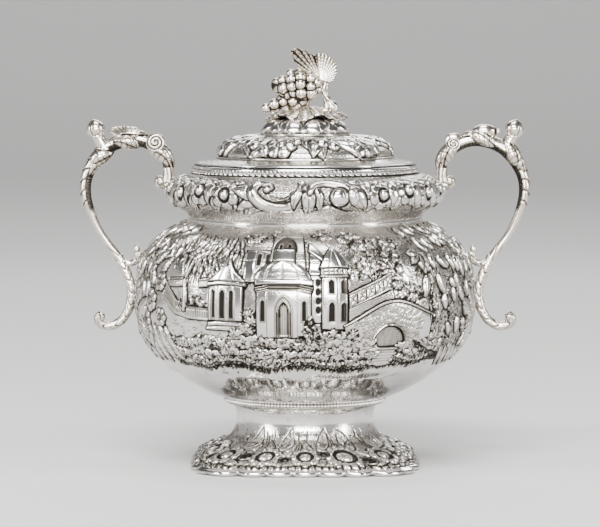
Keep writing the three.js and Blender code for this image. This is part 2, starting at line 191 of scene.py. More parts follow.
def set_tarnish_and_shade_value(thing, value):
    layer = thing.data.attributes["tarnish"]
    layer.data.foreach_set("value", np.full(len(layer.data), value, dtype=np.float32))


def grid_faces(rows, columns, closed=False):
    """Quads of a grid of vertices that goes row by row. closed joins the last column to the first."""
    i, j = np.meshgrid(np.arange(rows - 1), np.arange(columns - (not closed)), indexing="ij")
    after = (j + 1) % columns
    quads = [i * columns + j, i * columns + after, (i + 1) * columns + after, (i + 1) * columns + j]
    return np.stack(quads, -1).reshape(-1, 4)


def smooth_run(points, step):
    """Evenly spaced points on a smooth curve through the given ones, step apart."""
    p = np.asarray(points, dtype=float)
    p = np.vstack([2 * p[0] - p[1], p, 2 * p[-1] - p[-2]])
    pieces = []
    for a, b, c, d in zip(p, p[1:], p[2:], p[3:]):
        knots = np.cumsum([0.0] + [max(np.linalg.norm(v), 1e-6) ** 0.5 for v in (b - a, c - b, d - c)])
        t = np.linspace(knots[1], knots[2], 24, endpoint=False)[:, None]
        ab = a + (b - a) * (t - knots[0]) / (knots[1] - knots[0])
        bc = b + (c - b) * (t - knots[1]) / (knots[2] - knots[1])
        cd = c + (d - c) * (t - knots[2]) / (knots[3] - knots[2])
        left = ab + (bc - ab) * (t - knots[0]) / (knots[2] - knots[0])
        right = bc + (cd - bc) * (t - knots[1]) / (knots[3] - knots[1])
        pieces.append(left + (right - left) * (t - knots[1]) / (knots[2] - knots[1]))
    fine = np.vstack([*pieces, p[-2:-1]])
    return even_run(fine, step)


def even_run(points, step):
    """The same polyline with its points step apart."""
    points = np.asarray(points, dtype=float)
    length = np.r_[0, np.cumsum(np.linalg.norm(np.diff(points, axis=0), axis=1))]
    count = max(int(round(length[-1] / step)), 2)
    at = np.linspace(0, length[-1], count + 1)
    return np.stack([np.interp(at, length, axis) for axis in points.T], -1)


def run_normals(run):
    """Unit normals of a [radius, height] run that climbs, pointing away from the axis."""
    ahead = np.gradient(run, axis=0)
    normals = np.stack([ahead[:, 1], -ahead[:, 0]], -1)
    return normals / np.linalg.norm(normals, axis=1, keepdims=True)


def surface_normals(points, closed):
    """Normals of a grid of points with rows up and columns round, faces outwards."""
    if closed:
        across = np.roll(points, -1, axis=1) - np.roll(points, 1, axis=1)
    else:
        across = np.gradient(points, axis=1)
    up = np.gradient(points, axis=0)
    normals = np.cross(across, up)
    return normals / np.maximum(np.linalg.norm(normals, axis=2, keepdims=True), 1e-9)


def turn(run, angles, height=0.0, stretch=None):
    """Points of a run turned about Z, raised along the run's normal by height.

    stretch, if given, moves each point outwards and is called with radius and angle.
    """
    normals = run_normals(run)
    radius = run[:, :1] + normals[:, :1] * height
    z = run[:, 1:] + normals[:, 1:] * height + np.zeros_like(radius)
    angle = np.broadcast_to(angles, radius.shape if radius.shape[1] > 1 else (len(run), len(angles)))
    radius = np.broadcast_to(radius, angle.shape)
    z = np.broadcast_to(z, angle.shape)
    if stretch:
        radius = stretch(radius, angle)
    # Angle 0 faces the front, -Y, and grows towards +X.
    return np.stack([radius * np.sin(angle), -radius * np.cos(angle), z], -1)


def ring_angles(count):
    return np.arange(count) * TAU / count - math.pi


def turned_piece(name, run, columns=192):
    """A plain turned surface from a run that climbs on its outside."""
    points = turn(np.asarray(run, dtype=float), ring_angles(columns))
    rows = len(run)
    made = mesh_object(name, points.reshape(-1, 3), grid_faces(rows, columns, closed=True))
    set_tarnish_and_shade(made, np.zeros(rows * columns))
    return made


def chased_pieces(name, points, tarnish, panels, keep=None):
    """Objects for a closed grid of points, cut into panels that share their edge vertices.

    keep, if given, marks the quads that stay.
    """
    rows, columns = tarnish.shape
    normals = surface_normals(points, closed=True)
    edges = np.linspace(0, columns, panels + 1).astype(int)
    made = []
    for number, (start, stop) in enumerate(zip(edges, edges[1:]), 1):
        taken = np.arange(start, stop + 1) % columns
        faces = grid_faces(rows, len(taken))
        if keep is not None:
            faces = faces[keep[:, taken[:-1]].ravel()]
        label = name if panels == 1 else f"{name}_{number}"
        part = mesh_object(
            label,
            points[:, taken].reshape(-1, 3),
            faces,
            normals[:, taken].reshape(-1, 3),
        )
        set_tarnish_and_shade(part, tarnish[:, taken])
        made.append(part)
    return made


def rod_frame(path):
    """For each point of a 3-D path in the XZ plane: the way ahead, the outer side and the front."""
    ahead = np.gradient(path, axis=0)
    ahead /= np.linalg.norm(ahead, axis=1, keepdims=True)
    outer = np.cross(ahead, [0.0, 1.0, 0.0])
    outer /= np.maximum(np.linalg.norm(outer, axis=1, keepdims=True), 1e-9)
    return ahead, outer, np.cross(ahead, outer)


def rod_points(path, radius, angle):
    """Points at radius and angle round a path; all three have rows along the path."""
    _, outer, front = rod_frame(path)
    way = outer[:, None] * np.cos(angle)[..., None] + front[:, None] * np.sin(angle)[..., None]
    return path[:, None] + way * radius[..., None]


def rod(name, path, radius, relief=None, sides=28, half_turn=False):
    """A rod along a path. relief(distance, angle) gives rows of height and tarnish."""
    path = np.asarray(path, dtype=float)
    along = np.r_[0, np.cumsum(np.linalg.norm(np.diff(path, axis=0), axis=1))][:, None]
    angle = np.broadcast_to(ring_angles(sides), (len(path), sides))
    thick = np.broadcast_to(np.asarray(radius, dtype=float).reshape(-1, 1), angle.shape)
    height, tarnish = relief(along, angle) if relief else (0 * angle, 0 * angle)
    points = rod_points(path, thick + height, angle)
    ahead = rod_frame(path)[0]
    tips = np.stack([path[0] - ahead[0] * thick[0, 0] * 0.6, path[-1] + ahead[-1] * thick[-1, 0] * 0.6])
    return capped(name, points, tips, tarnish, half_turn)


def capped(name, points, tips, tarnish, half_turn=False):
    """A closed body from a grid whose columns go round, with a point that closes each end."""
    rows, sides = tarnish.shape
    corners = np.vstack([points.reshape(-1, 3), tips])
    if half_turn:
        corners = corners * [-1, -1, 1]
    first, last = rows * sides, rows * sides + 1
    quads = grid_faces(rows, sides, closed=True)
    ring = np.arange(sides)
    after = (ring + 1) % sides
    low = np.stack([after, ring, np.full(sides, first)], -1)
    high = np.stack([ring + first - sides, after + first - sides, np.full(sides, last)], -1)
    triangles = np.vstack([quads[:, [0, 1, 2]], quads[:, [0, 2, 3]], low, high])
    made = mesh_object(name, corners, triangles)
    face_outwards(made)
    set_tarnish_and_shade(made, np.r_[tarnish.ravel(), tarnish[0].mean(), tarnish[-1].mean()])
    return made


def face_outwards(thing):
    """Turns every face of a closed body outwards."""
    work = bmesh.new()
    work.from_mesh(thing.data)
    bmesh.ops.recalc_face_normals(work, faces=work.faces)
    work.to_mesh(thing.data)
    work.free()


def shell(name, points, thick, tarnish, closed=False, half_turn=False):
    """A thin closed sheet round a grid of points, such as a cast leaf. thick may vary."""
    rows, columns = tarnish.shape
    normals = surface_normals(points, closed)
    thick = np.broadcast_to(thick, tarnish.shape)[..., None]
    sides = np.stack([points + normals * thick / 2, points - normals * thick / 2])
    corners = sides.reshape(-1, 3)
    if half_turn:
        corners = corners * [-1, -1, 1]
    count = rows * columns
    front = grid_faces(rows, columns, closed)
    back = front[:, ::-1] + count
    index = np.arange(count).reshape(rows, columns)
    if closed:
        loops = [np.r_[index[-1], index[-1, 0]]]
    else:
        loops = [np.r_[index[0], index[1:, -1], index[-1, -2::-1], index[-2::-1, 0]]]
    rims = [np.stack([loop[:-1], loop[1:], loop[1:] + count, loop[:-1] + count], -1) for loop in loops]
    made = mesh_object(name, corners, np.vstack([front, back, *rims]))
    face_outwards(made)
    set_tarnish_and_shade(made, np.stack([tarnish, tarnish]))
    return made


def facing(points, centre, axis):
    """Points built round +Z turned so that +Z looks along axis, and moved to centre."""
    turned = np.array(Vector(axis).to_track_quat("Z", "Y").to_matrix())
    return points @ turned.T + np.asarray(centre, dtype=float)


# ---- Chasing: drawing relief and tarnish on a sheet ----


class Chasing:
    """A sheet of relief that goes round a turned piece.

    u is the distance round it in millimetres, 0 at the front and growing to the right, and v the
    distance up the run. height is in millimetres, and tarnish, which holds tarnish and some
    painted shade, goes from 0 to 1. ink scales how dark the line round each laid shape is.
    """

    def __init__(self, girth, v_low, v_high, seed, ink=1.0):
        self.girth = girth
        self.ink = ink
        self.columns = int(round(girth / GRID))
        self.rows = int(round((v_high - v_low) / GRID)) + 1
        self.u = np.arange(self.columns) * girth / self.columns - girth / 2
        self.v = np.linspace(v_low, v_high, self.rows)
        self.height = np.zeros((self.rows, self.columns))
        self.tarnish = np.zeros((self.rows, self.columns))
        self.random = np.random.default_rng(seed)

    def window(self, u0, u1, v0, v1):
        """The part of the sheet inside a box: an index for it, and its u and v."""
        step_u = self.girth / self.columns
        first = int(math.floor((u0 + self.girth / 2) / step_u))
        last = int(math.ceil((u1 + self.girth / 2) / step_u)) + 1
        columns = np.arange(first, last)
        step_v = self.v[1] - self.v[0]
        low = max(int((v0 - self.v[0]) / step_v), 0)
        high = min(int((v1 - self.v[0]) / step_v) + 2, self.rows)
        rows = np.arange(low, max(high, low + 1))
        rows = rows[rows < self.rows]
        u = columns * step_u - self.girth / 2
        v = self.v[rows]
        return np.ix_(rows, columns % self.columns), u[None, :], v[:, None]

    def lay(self, box, shape, line=0.8, groove=0.35, soft=0.4, line_width=0.36):
        """Lays a raised shape over what is there, with a dark chased line round it.

        shape(u, v) gives the distance inside the shape's edge, its height and its tarnish and painted shade.
        """
        where, u, v = self.window(*box)
        if where[0].size == 0:
            return
        inside, height, tarnish = shape(u, v)
        mask = np.clip(inside / soft + 0.5, 0, 1)
        edge = np.exp(-(((inside + 0.15) / line_width) ** 2))
        below = self.height[where]
        self.height[where] = below + (height - below) * mask - groove * edge
        under = self.tarnish[where]
        self.tarnish[where] = np.maximum(under + (tarnish - under) * mask, line * self.ink * edge)

    def cut(self, points, width=0.34, depth=0.28, dark=0.85, fade=False):
        """A chased line through points, fading to its end if asked."""
        points = np.asarray(points, dtype=float)
        low, high = points.min(0) - 2 * width - 0.5, points.max(0) + 2 * width + 0.5
        where, u, v = self.window(low[0], high[0], low[1], high[1])
        if where[0].size == 0:
            return
        nearest, share = distance_to(points, u, v)
        strength = np.exp(-((nearest / width) ** 2))
        if fade:
            strength = strength * np.clip(1.15 - share, 0, 1) ** 0.6
        self.height[where] -= depth * strength
        self.tarnish[where] = np.maximum(self.tarnish[where], dark * strength)

    def band(self, points, width, lift, ends=(1.0, 1.0), line=0.8, inner=True):
        """A raised round band along points, such as a scroll. ends scale its width at each end."""
        points = np.asarray(points, dtype=float)
        margin = width + 1.0
        low, high = points.min(0) - margin, points.max(0) + margin

        def shape(u, v):
            nearest, share = distance_to(points, u, v)
            swell = ends[0] + (ends[1] - ends[0]) * share
            half = width / 2 * swell * (0.72 + 0.28 * np.sin(math.pi * share))
            across = np.clip(nearest / np.maximum(half, 0.05), 0, 1)
            height = lift * np.sqrt(1 - 0.9 * across**2)
            tarnish = 0.0 * height
            if inner:
                crease = np.exp(-(((across - 0.66) / 0.1) ** 2))
                height = height - 0.22 * crease
                tarnish = 0.55 * crease
            return half - nearest, height, tarnish

        self.lay((low[0], high[0], low[1], high[1]), shape, line=line)

    def blob(self, u0, v0, wide, tall, lift, dark=0.0, line=0.8):
        """A raised oval."""
        reach = max(wide, tall) + 0.8

        def shape(u, v):
            out = np.sqrt(((u - u0) / wide) ** 2 + ((v - v0) / tall) ** 2)
            height = lift * np.sqrt(np.clip(1 - out**2, 0, 1))
            return (1 - out) * min(wide, tall), height, dark + 0.0 * height

        self.lay((u0 - reach, u0 + reach, v0 - reach, v0 + reach), shape, line=line)

    def leaf(self, u0, v0, angle, length, width, bend=0.0, lift=1.1, veins=6, teeth=0, fat=0.8,
             rib_dark=0.6, line=0.8):
        """A leaf that starts at (u0, v0) and points along angle, in degrees from +u."""
        a = math.radians(angle)
        c, s = math.cos(a), math.sin(a)
        reach = max(length * (0.5 + abs(bend)), width) + 1.5
        mid_u, mid_v = u0 + c * length / 2, v0 + s * length / 2

        def shape(u, v):
            along = ((u - u0) * c + (v - v0) * s) / length
            t = np.clip(along, 0, 1)
            across = -(u - u0) * s + (v - v0) * c - bend * length * 4 * t * (1 - t)
            half = width / 2 * np.sin(math.pi * t**fat) ** 0.85
            if teeth:
                saw = (t * teeth) % 1.0
                half = half * (0.82 + 0.26 * saw)
            past = np.maximum(-along, along - 1) * length
            inside = np.where(past > 0, -np.hypot(past, across), half - np.abs(across))
            side = np.clip(np.abs(across) / np.maximum(half, 0.05), 0, 1)
            puff = (1 - side**2) ** 0.55 * (0.45 + 0.55 * np.sin(math.pi * t) ** 0.5)
            rib = np.exp(-((across / 0.3) ** 2)) * (t < 0.93)
            height = lift * puff - 0.4 * rib_dark * rib
            tarnish = rib_dark * rib
            if veins:
                wave = (t * veins - 0.55 * np.abs(across) / width * veins) % 1.0
                vein = np.exp(-(((wave - 0.5) / 0.09) ** 2)) * np.clip(1.3 - side * 1.2, 0, 1)
                vein = vein * (np.abs(across) > 0.3)
                height = height - 0.16 * vein
                tarnish = tarnish + 0.5 * vein
            return inside, height, np.clip(tarnish, 0, 1)

        self.lay((mid_u - reach, mid_u + reach, mid_v - reach, mid_v + reach), shape, line=line)

    def flower(self, u0, v0, radius, petals=6, lift=1.3, turned=0.0, heart=0.34, rings=1, squash=1.0):
        """A flower seen from above, with notched petals and a round heart."""
        reach = radius * 1.1 + 0.6

        def shape(u, v):
            x, y = u - u0, (v - v0) / squash
            out = np.hypot(x, y)
            wave = np.abs(np.cos(petals / 2 * (np.arctan2(y, x) - turned)))
            edge = radius * (0.76 + 0.24 * wave**0.6)
            gap = (1 - wave) ** 3 * (out > heart * radius)
            share = out / edge
            height = lift * (0.55 + 0.45 * np.sin(math.pi * np.clip(share, 0, 1)))
            height = height - 0.5 * gap
            tarnish = 0.75 * (1 - wave) ** 5 * (out > heart * radius)
            ray = np.exp(-((((np.arctan2(y, x) - turned) * petals * 3 / TAU) % 1.0 - 0.5) / 0.1) ** 2)
            comb = ray * ((share > 0.45) & (share < 0.8))
            height = height - 0.12 * comb
            tarnish = np.maximum(tarnish, 0.4 * comb)
            for k in range(rings):
                ring = heart * radius * (1 - 0.42 * k)
                groove = np.exp(-(((out - ring) / 0.3) ** 2))
                height = height - 0.35 * groove
                tarnish = np.maximum(tarnish, 0.85 * groove)
            core = out < heart * radius - 0.2
            height = np.where(core, lift * (0.75 + 0.5 * np.sqrt(np.clip(1 - (out / (heart * radius)) ** 2, 0, 1))), height)
            return edge - out, height, np.clip(tarnish, 0, 1)

        self.lay((u0 - reach, u0 + reach, v0 - reach, v0 + reach), shape)

    def stipple(self, u0, u1, v0, v1, pitch=1.1, depth=0.22, dark=0.75, size=0.3, where_height=None):
        """Punched dots in loose rows over a box, only on ground lower than where_height if given."""
        where, u, v = self.window(u0, u1, v0, v1)
        if where[0].size == 0:
            return
        row = np.floor(v / pitch)
        column = np.floor(u / pitch + 0.5 * (row % 2))
        jitter = np.sin(column * 127.1 + row * 311.7) * 43758.5453
        jitter_u = (jitter % 1.0 - 0.5) * 0.45
        jitter_v = ((jitter * 1.7) % 1.0 - 0.5) * 0.45
        du = u / pitch + 0.5 * (row % 2) - column - 0.5 - jitter_u
        dv = v / pitch - row - 0.5 - jitter_v
        dot = np.exp(-((du**2 + dv**2) * pitch**2) / size**2)
        if where_height is not None:
            dot = dot * (self.height[where] < where_height)
        self.height[where] -= depth * dot
        self.tarnish[where] = np.maximum(self.tarnish[where], dark * dot)

    def hatch(self, polygon, angle, pitch, depth=0.18, dark=0.7, width=0.2):
        """Parallel engraved lines inside a polygon."""
        polygon = np.asarray(polygon, dtype=float)
        low, high = polygon.min(0), polygon.max(0)
        where, u, v = self.window(low[0], high[0], low[1], high[1])
        if where[0].size == 0:
            return
        inside = polygon_inside(polygon, u, v)
        a = math.radians(angle)
        across = (-(u * math.sin(a)) + v * math.cos(a)) / pitch
        line = np.exp(-((((across % 1.0) - 0.5) * pitch / width) ** 2)) * (inside > 0)
        self.height[where] -= depth * line
        self.tarnish[where] = np.maximum(self.tarnish[where], dark * line)

    def polygon(self, points, lift, dark=0.0, line=0.85, bulge=0.0):
        """A raised flat shape with straight sides. bulge lifts its middle above its sides."""
        points = np.asarray(points, dtype=float)
        low, high = points.min(0) - 0.8, points.max(0) + 0.8
        centre = points.mean(0)
        size = max(np.ptp(points[:, 0]) / 2, 0.1)

        def shape(u, v):
            inside = polygon_inside(points, u, v)
            height = lift + bulge * (1 - np.clip(np.abs(u - centre[0]) / size, 0, 1) ** 2) + 0 * v
            return inside, height + 0 * inside, dark + 0.0 * inside

        self.lay((low[0], high[0], low[1], high[1]), shape, line=line)

    def opening(self, u0, v0, wide, tall, pointed=0.0, depth=0.5, dark=0.8, frame_width=0.6, planks=0.0):
        """An arched window or door whose sill is at v0, in a raised frame."""

        def arch(grow):
            half = wide / 2 + grow
            spring = v0 + tall - wide / 2 * math.sqrt(1 + 2 * pointed)

            def inside(u, v):
                x = np.abs(u - u0)
                crown = half * (1 + pointed) - np.hypot(x + pointed * half, np.maximum(v - spring, 0))
                body = np.minimum(half - x, v - (v0 - grow))
                return np.where(v > spring, crown, body)

            return inside

        box = (u0 - wide, u0 + wide, v0 - 1.5, v0 + tall + wide)
        base = self.height_at(u0 - wide / 2 - frame_width - 0.4, v0 + tall / 2)
        outer, inner = arch(frame_width), arch(0)
        self.lay(box, lambda u, v: (outer(u, v), base + 0.3 + 0 * (u + v), 0.0 * (u + v)), line=0.45,
                 groove=0.12)

        def hole(u, v):
            # Painted shade: the inside of the opening is darker on its left and lighter on its right.
            side = np.clip((u - u0) / wide + 0.5, 0, 1)
            shade = dark * (1 - 0.55 * side**2) + 0 * v
            if planks:
                seam = np.exp(-(((((u - u0) / planks) % 1.0 - 0.5) / 0.22) ** 2))
                shade = dark * (0.3 + 0.7 * seam) + 0 * v
            return inner(u, v), base - depth + 0 * (u + v), shade

        self.lay(box, hole, line=0.85, groove=0.1, line_width=0.28)

    def height_at(self, u0, v0):
        where, _, _ = self.window(u0, u0, v0, v0)
        return float(self.height[where][0, 0])

    def dome(self, u0, v0, wide, tall, lift, ribs):
        """A round dome that springs at v0, with so many ribs."""

        def shape(u, v):
            up = np.clip((v - v0) / tall, 0, 1)
            half = wide / 2 * np.sqrt(np.clip(1 - up**2, 0, 1))
            x = (u - u0) / np.maximum(half, 0.05)
            outside = np.maximum(v0 - v, v - v0 - tall)
            inside = np.where(outside > 0, -outside, half - np.abs(u - u0))
            wave = np.abs(np.sin(ribs / 2 * math.pi * np.arcsin(np.clip(x, -1, 1)) / (math.pi / 2)))
            height = lift * np.sqrt(np.clip(1 - 0.8 * x**2, 0, 1)) - 0.22 * (1 - wave) ** 3
            return inside, height, 0.65 * (1 - wave) ** 6

        self.lay((u0 - wide * 0.8, u0 + wide * 0.8, v0 - 0.8, v0 + tall + 0.8), shape)

    def pecks(self, u, v, angle, length, width=0.32, depth=0.25, dark=0.9):
        """Many short punched marks at once, centred on the points (u, v)."""
        marks = np.broadcast_arrays(*(np.asarray(item, dtype=float)
                                      for item in (u, v, angle, length, width, dark)))
        u, v, angle, length, width, dark = (item.reshape(-1, 1, 1) for item in marks)
        if u.size == 0:
            return
        step_u, step_v = self.girth / self.columns, self.v[1] - self.v[0]
        reach = int(math.ceil((length.max() / 2 + 1.4 * width.max()) / step_v))
        offsets = np.arange(-reach, reach + 1)
        column = np.round((u + self.girth / 2) / step_u).astype(int) + offsets[None, None, :]
        row = np.round((v - self.v[0]) / step_v).astype(int) + offsets[None, :, None]
        x = column * step_u - self.girth / 2 - u
        y = self.v[0] + row * step_v - v
        past = np.maximum(np.abs(x * np.cos(angle) + y * np.sin(angle)) - length / 2, 0)
        mark = np.exp(-((np.hypot(y * np.cos(angle) - x * np.sin(angle), past) / width) ** 2))
        row, column = np.broadcast_arrays(row, column % self.columns)
        keep = (row >= 0) & (row < self.rows) & (mark > 0.02)
        where = (row[keep], column[keep])
        np.maximum.at(self.tarnish, where, (dark * mark)[keep])
        sunk = np.zeros_like(self.height)
        np.maximum.at(sunk, where, (depth * mark)[keep])
        self.height -= sunk

    def pepper(self, u0, v0, wide, tall, count, length=0.9, clusters=0, angle=None, dark=0.9):
        """Marks scattered in an oval, gathered into clusters if asked, along an angle or any way."""
        random = self.random
        turned, out = random.uniform(0, TAU, count), random.uniform(0, 1, count) ** 0.5
        du, dv = out * np.cos(turned), out * np.sin(turned)
        if clusters:
            pick = random.integers(0, clusters, count)
            du = du[pick] * 0.85 + random.normal(0, 0.14, count)
            dv = dv[pick] * 0.85 + random.normal(0, 0.14, count)
        ways = random.uniform(0, TAU, count) if angle is None else angle + random.normal(0, 0.35, count)
        self.pecks(u0 + wide / 2 * du, v0 + tall / 2 * dv, ways, length * random.uniform(0.3, 1.5, count),
                   random.uniform(0.24, 0.42, count), dark=dark * random.uniform(0.6, 1.05, count))

    def mound(self, u0, v0, wide, tall, lift=1.0, ragged=0.16, line=0.3):
        """A soft lump with a ragged edge, half sizes wide and tall."""
        counts = self.random.integers(5, 14, 3)
        phases = self.random.uniform(0, TAU, 3)
        reach = max(wide, tall) * (1 + ragged) + 0.8

        def shape(u, v):
            x, y = (u - u0) / wide, (v - v0) / tall
            turned, out = np.arctan2(y, x), np.hypot(x, y)
            edge = 1 + ragged / 2 * sum(np.sin(turned * n + p) for n, p in zip(counts, phases))
            height = lift * (0.4 + 0.6 * np.sqrt(np.clip(1 - (out / edge) ** 2, 0, 1)))
            return (edge - out) * min(wide, tall), height, 0.0 * height

        self.lay((u0 - reach, u0 + reach, v0 - reach, v0 + reach), shape, line=line, groove=0.2)

    def foliage(self, u0, v0, wide, tall, clumps, lift=1.0, size=2.6):
        """Soft leafy lumps in an oval with clusters of dark punched marks."""
        for _ in range(clumps):
            a, r = self.random.uniform(0, TAU), self.random.uniform(0, 1) ** 0.5
            self.mound(u0 + wide / 2 * r * math.cos(a), v0 + tall / 2 * r * math.sin(a),
                       size * self.random.uniform(0.8, 1.3), size * self.random.uniform(0.6, 1.0), lift,
                       line=0.18)
        area = wide * tall
        self.pepper(u0, v0, wide, tall, int(area * 0.42), 1.1, clusters=max(int(area / 16), 3))
        self.pepper(u0, v0, wide * 1.1, tall * 1.1, int(area * 0.2), 0.7)

    def bush(self, u0, v0, wide, tall, lift=1.1, spikes=1.0, top=0.3):
        """A low smooth mound with dark strokes that fan out round it, fewest at its top."""
        self.mound(u0, v0, wide, tall, lift, line=0.12)
        count = int(3.4 * (wide + tall) * spikes)
        turned = self.random.uniform(0, TAU, count)
        turned = turned[self.random.uniform(0, 1, count) < top + (1 - top) * (0.5 - 0.5 * np.sin(turned))]
        reach = self.random.uniform(0.7, 1.12, turned.size)
        self.pecks(u0 + wide * reach * np.cos(turned), v0 + tall * reach * np.sin(turned),
                   turned + self.random.normal(0, 0.25, turned.size),
                   self.random.uniform(1.0, 2.1, turned.size), 0.33, 0.3,
                   self.random.uniform(0.75, 1.0, turned.size))
        self.pepper(u0, v0, wide * 1.2, tall * 1.2, int(wide * tall * 0.9), 0.5)

    def spray(self, u0, v0, angle, spread, leaves, length, width, lift=0.9):
        """Leaves that fan out from one point."""
        for k in range(leaves):
            share = k / max(leaves - 1, 1) - 0.5
            reach = length * (1 - 0.35 * abs(share) * 2) * self.random.uniform(0.9, 1.1)
            self.leaf(u0, v0, angle + spread * share, reach, width, bend=0.12 * share, lift=lift, veins=0)

    def fringe(self, points, length, pitch=0.8, lean=0.0, dark=0.9):
        """Dark strokes that hang below a line through points, like grass at a bank's edge."""
        points = even_run(points, pitch)
        angle = -math.pi / 2 + lean + self.random.normal(0, 0.45, len(points))
        reach = length * self.random.uniform(0.6, 1.3, len(points))
        self.pecks(points[:, 0] + reach / 2 * np.cos(angle), points[:, 1] + reach / 2 * np.sin(angle), angle,
                   reach, 0.36, 0.35, dark)

    def settle(self, reach=1.1, amount=1.9, wobble=0.06):
        """Tarnish in the hollows, and the slight unevenness of hand work."""
        cells = reach / (self.v[1] - self.v[0])
        hollow = blurred(self.height, cells) - self.height
        self.tarnish = np.clip(self.tarnish + amount * np.clip(hollow - 0.03, 0, None), 0, 1)
        uneven = blurred(self.random.normal(0, 1, self.height.shape), 4.5 / GRID)
        self.height += wobble * uneven / max(uneven.std(), 1e-9)


def blurred(field, reach):
    """A field blurred by a bell of that many cells. It goes round in columns and stops at rows."""
    pad = int(3 * reach) + 1
    padded = np.pad(field, ((pad, pad), (0, 0)), mode="edge")
    down = np.fft.fftfreq(padded.shape[0])[:, None]
    across = np.fft.rfftfreq(padded.shape[1])[None]
    bell = np.exp(-2 * (math.pi * reach) ** 2 * (down**2 + across**2))
    return np.fft.irfft2(np.fft.rfft2(padded) * bell, s=padded.shape)[pad:-pad]


def distance_to(points, u, v):
    """Distance from each (u, v) to a polyline, and the share of its length at the nearest point."""
    lengths = np.linalg.norm(np.diff(points, axis=0), axis=1)
    total = max(lengths.sum(), 1e-6)
    best = np.full(np.broadcast_shapes(u.shape, v.shape), 1e9)
    share = np.zeros_like(best)
    done = 0.0
    for a, b, length in zip(points, points[1:], lengths):
        du, dv = b - a
        t = np.clip(((u - a[0]) * du + (v - a[1]) * dv) / max(length**2, 1e-9), 0, 1)
        gap = np.hypot(u - a[0] - t * du, v - a[1] - t * dv)
        nearer = gap < best
        best = np.where(nearer, gap, best)
        share = np.where(nearer, (done + t * length) / total, share)
        done += length
    return best, share


def polygon_inside(points, u, v):
    """Distance to a polygon's edge, positive inside it."""
    best, _ = distance_to(np.vstack([points, points[:1]]), u, v)
    crossings = np.zeros(best.shape, dtype=bool)
    for (u0, v0), (u1, v1) in zip(points, np.roll(points, -1, axis=0)):
        if v0 == v1:
            continue
        spans = (v0 > v) != (v1 > v)
        at = u0 + (v - v0) * (u1 - u0) / (v1 - v0)
        crossings ^= spans & (u < at)
    return np.where(crossings, best, -best)


def arc(points, count=24):
    """A smooth line through a few points."""
    run = smooth_run(points, 0.5)
    return run[:: max(len(run) // count, 1)]


# ---- Metal ----


def add_node(tree, kind, inputs=None, **settings):
    """A node with its settings and its input values or links."""
    node = tree.nodes.new(kind)
    for key, value in settings.items():
        setattr(node, key, value)
    for key, value in (inputs or {}).items():
        socket = node.inputs[key]
        if isinstance(value, bpy.types.NodeSocket):
            tree.links.new(value, socket)
        else:
            socket.default_value = value
    return node


def silver(name, tint=(1.0, 1.0, 1.0), rough=1.0, wear=1.0):
    """Polished silver whose tarnish and painted shade follow the piece's tarnish attribute."""
    finish = bpy.context.scene.sugar_bowl_silver
    material = bpy.data.materials.new(name)
    material.use_nodes = True
    tree = material.node_tree
    tree.nodes.clear()
    place = add_node(tree, "ShaderNodeTexCoord").outputs["Object"]
    tarnish_and_shade_amount = add_node(tree, "ShaderNodeAttribute", attribute_name="tarnish").outputs["Fac"]

    # Broad cloudy film, small rubbed patches and fine polishing scratches.
    cloud = add_node(tree, "ShaderNodeTexNoise", {"Vector": place, "Scale": 38.0, "Detail": 5.0})
    patch = add_node(tree, "ShaderNodeTexNoise", {"Vector": place, "Scale": 240.0, "Detail": 4.0})
    turned = add_node(tree, "ShaderNodeMapping", {"Vector": place, "Scale": (1.0, 1.0, 9.0)})
    scratch = add_node(
        tree, "ShaderNodeTexNoise", {"Vector": turned.outputs[0], "Scale": 900.0, "Detail": 3.0}
    )
    film = add_node(
        tree, "ShaderNodeMapRange",
        {"Value": cloud.outputs["Fac"], "From Min": 0.42, "From Max": 0.78, "To Max": 0.16 * wear},
    )
    spots = add_node(
        tree, "ShaderNodeMapRange",
        {"Value": patch.outputs["Fac"], "From Min": 0.55, "From Max": 0.8, "To Max": 0.25 * wear},
    )
    grime = add_node(
        tree, "ShaderNodeMath", {0: film.outputs[0], 1: spots.outputs[0]}, operation="MAXIMUM"
    )
    # dirt_and_shade adds the attribute's tarnish and painted shade to the cloudy film and rubbed patches.
    dirt_and_shade = add_node(
        tree, "ShaderNodeMath", {0: grime.outputs[0], 1: tarnish_and_shade_amount}, operation="ADD", use_clamp=True
    )
    shade = add_node(tree, "ShaderNodeValToRGB", {"Fac": dirt_and_shade.outputs[0]})
    bright = [a * b for a, b in zip(finish.bright, tint)]
    ramp = shade.color_ramp
    ramp.elements[0].position = 0.0
    ramp.elements[0].color = (*bright, 1)
    ramp.elements[1].position = 0.78
    ramp.elements[1].color = (*finish.dark, 1)
    middle = ramp.elements.new(0.32)
    middle.color = (bright[0] * 0.42, bright[1] * 0.395, bright[2] * 0.35, 1)
    gloss = add_node(
        tree, "ShaderNodeMapRange",
        {"Value": dirt_and_shade.outputs[0], "To Min": finish.gloss * rough, "To Max": 0.62},
    )
    streak = add_node(
        tree, "ShaderNodeMath", {0: scratch.outputs["Fac"], 1: 0.06}, operation="MULTIPLY"
    )
    roughness = add_node(tree, "ShaderNodeMath", {0: gloss.outputs[0], 1: streak.outputs[0]},
                         operation="ADD")
    metal = add_node(tree, "ShaderNodeMapRange", {"Value": dirt_and_shade.outputs[0], "To Min": 1.0, "To Max": 0.85})
    dents = add_node(
        tree, "ShaderNodeBump",
        {"Height": patch.outputs["Fac"], "Strength": 0.25 * wear, "Distance": 0.00018},
    )
    lines = add_node(
        tree, "ShaderNodeBump",
        {"Height": scratch.outputs["Fac"], "Strength": 0.12, "Distance": 0.00006,
         "Normal": dents.outputs[0]},
    )
    shader = add_node(
        tree, "ShaderNodeBsdfPrincipled",
        {"Base Color": shade.outputs["Color"], "Metallic": metal.outputs[0],
         "Roughness": roughness.outputs[0], "Normal": lines.outputs[0]},
    )
    add_node(tree, "ShaderNodeOutputMaterial", {"Surface": shader.outputs[0]})
    return material


MATERIALS = {}


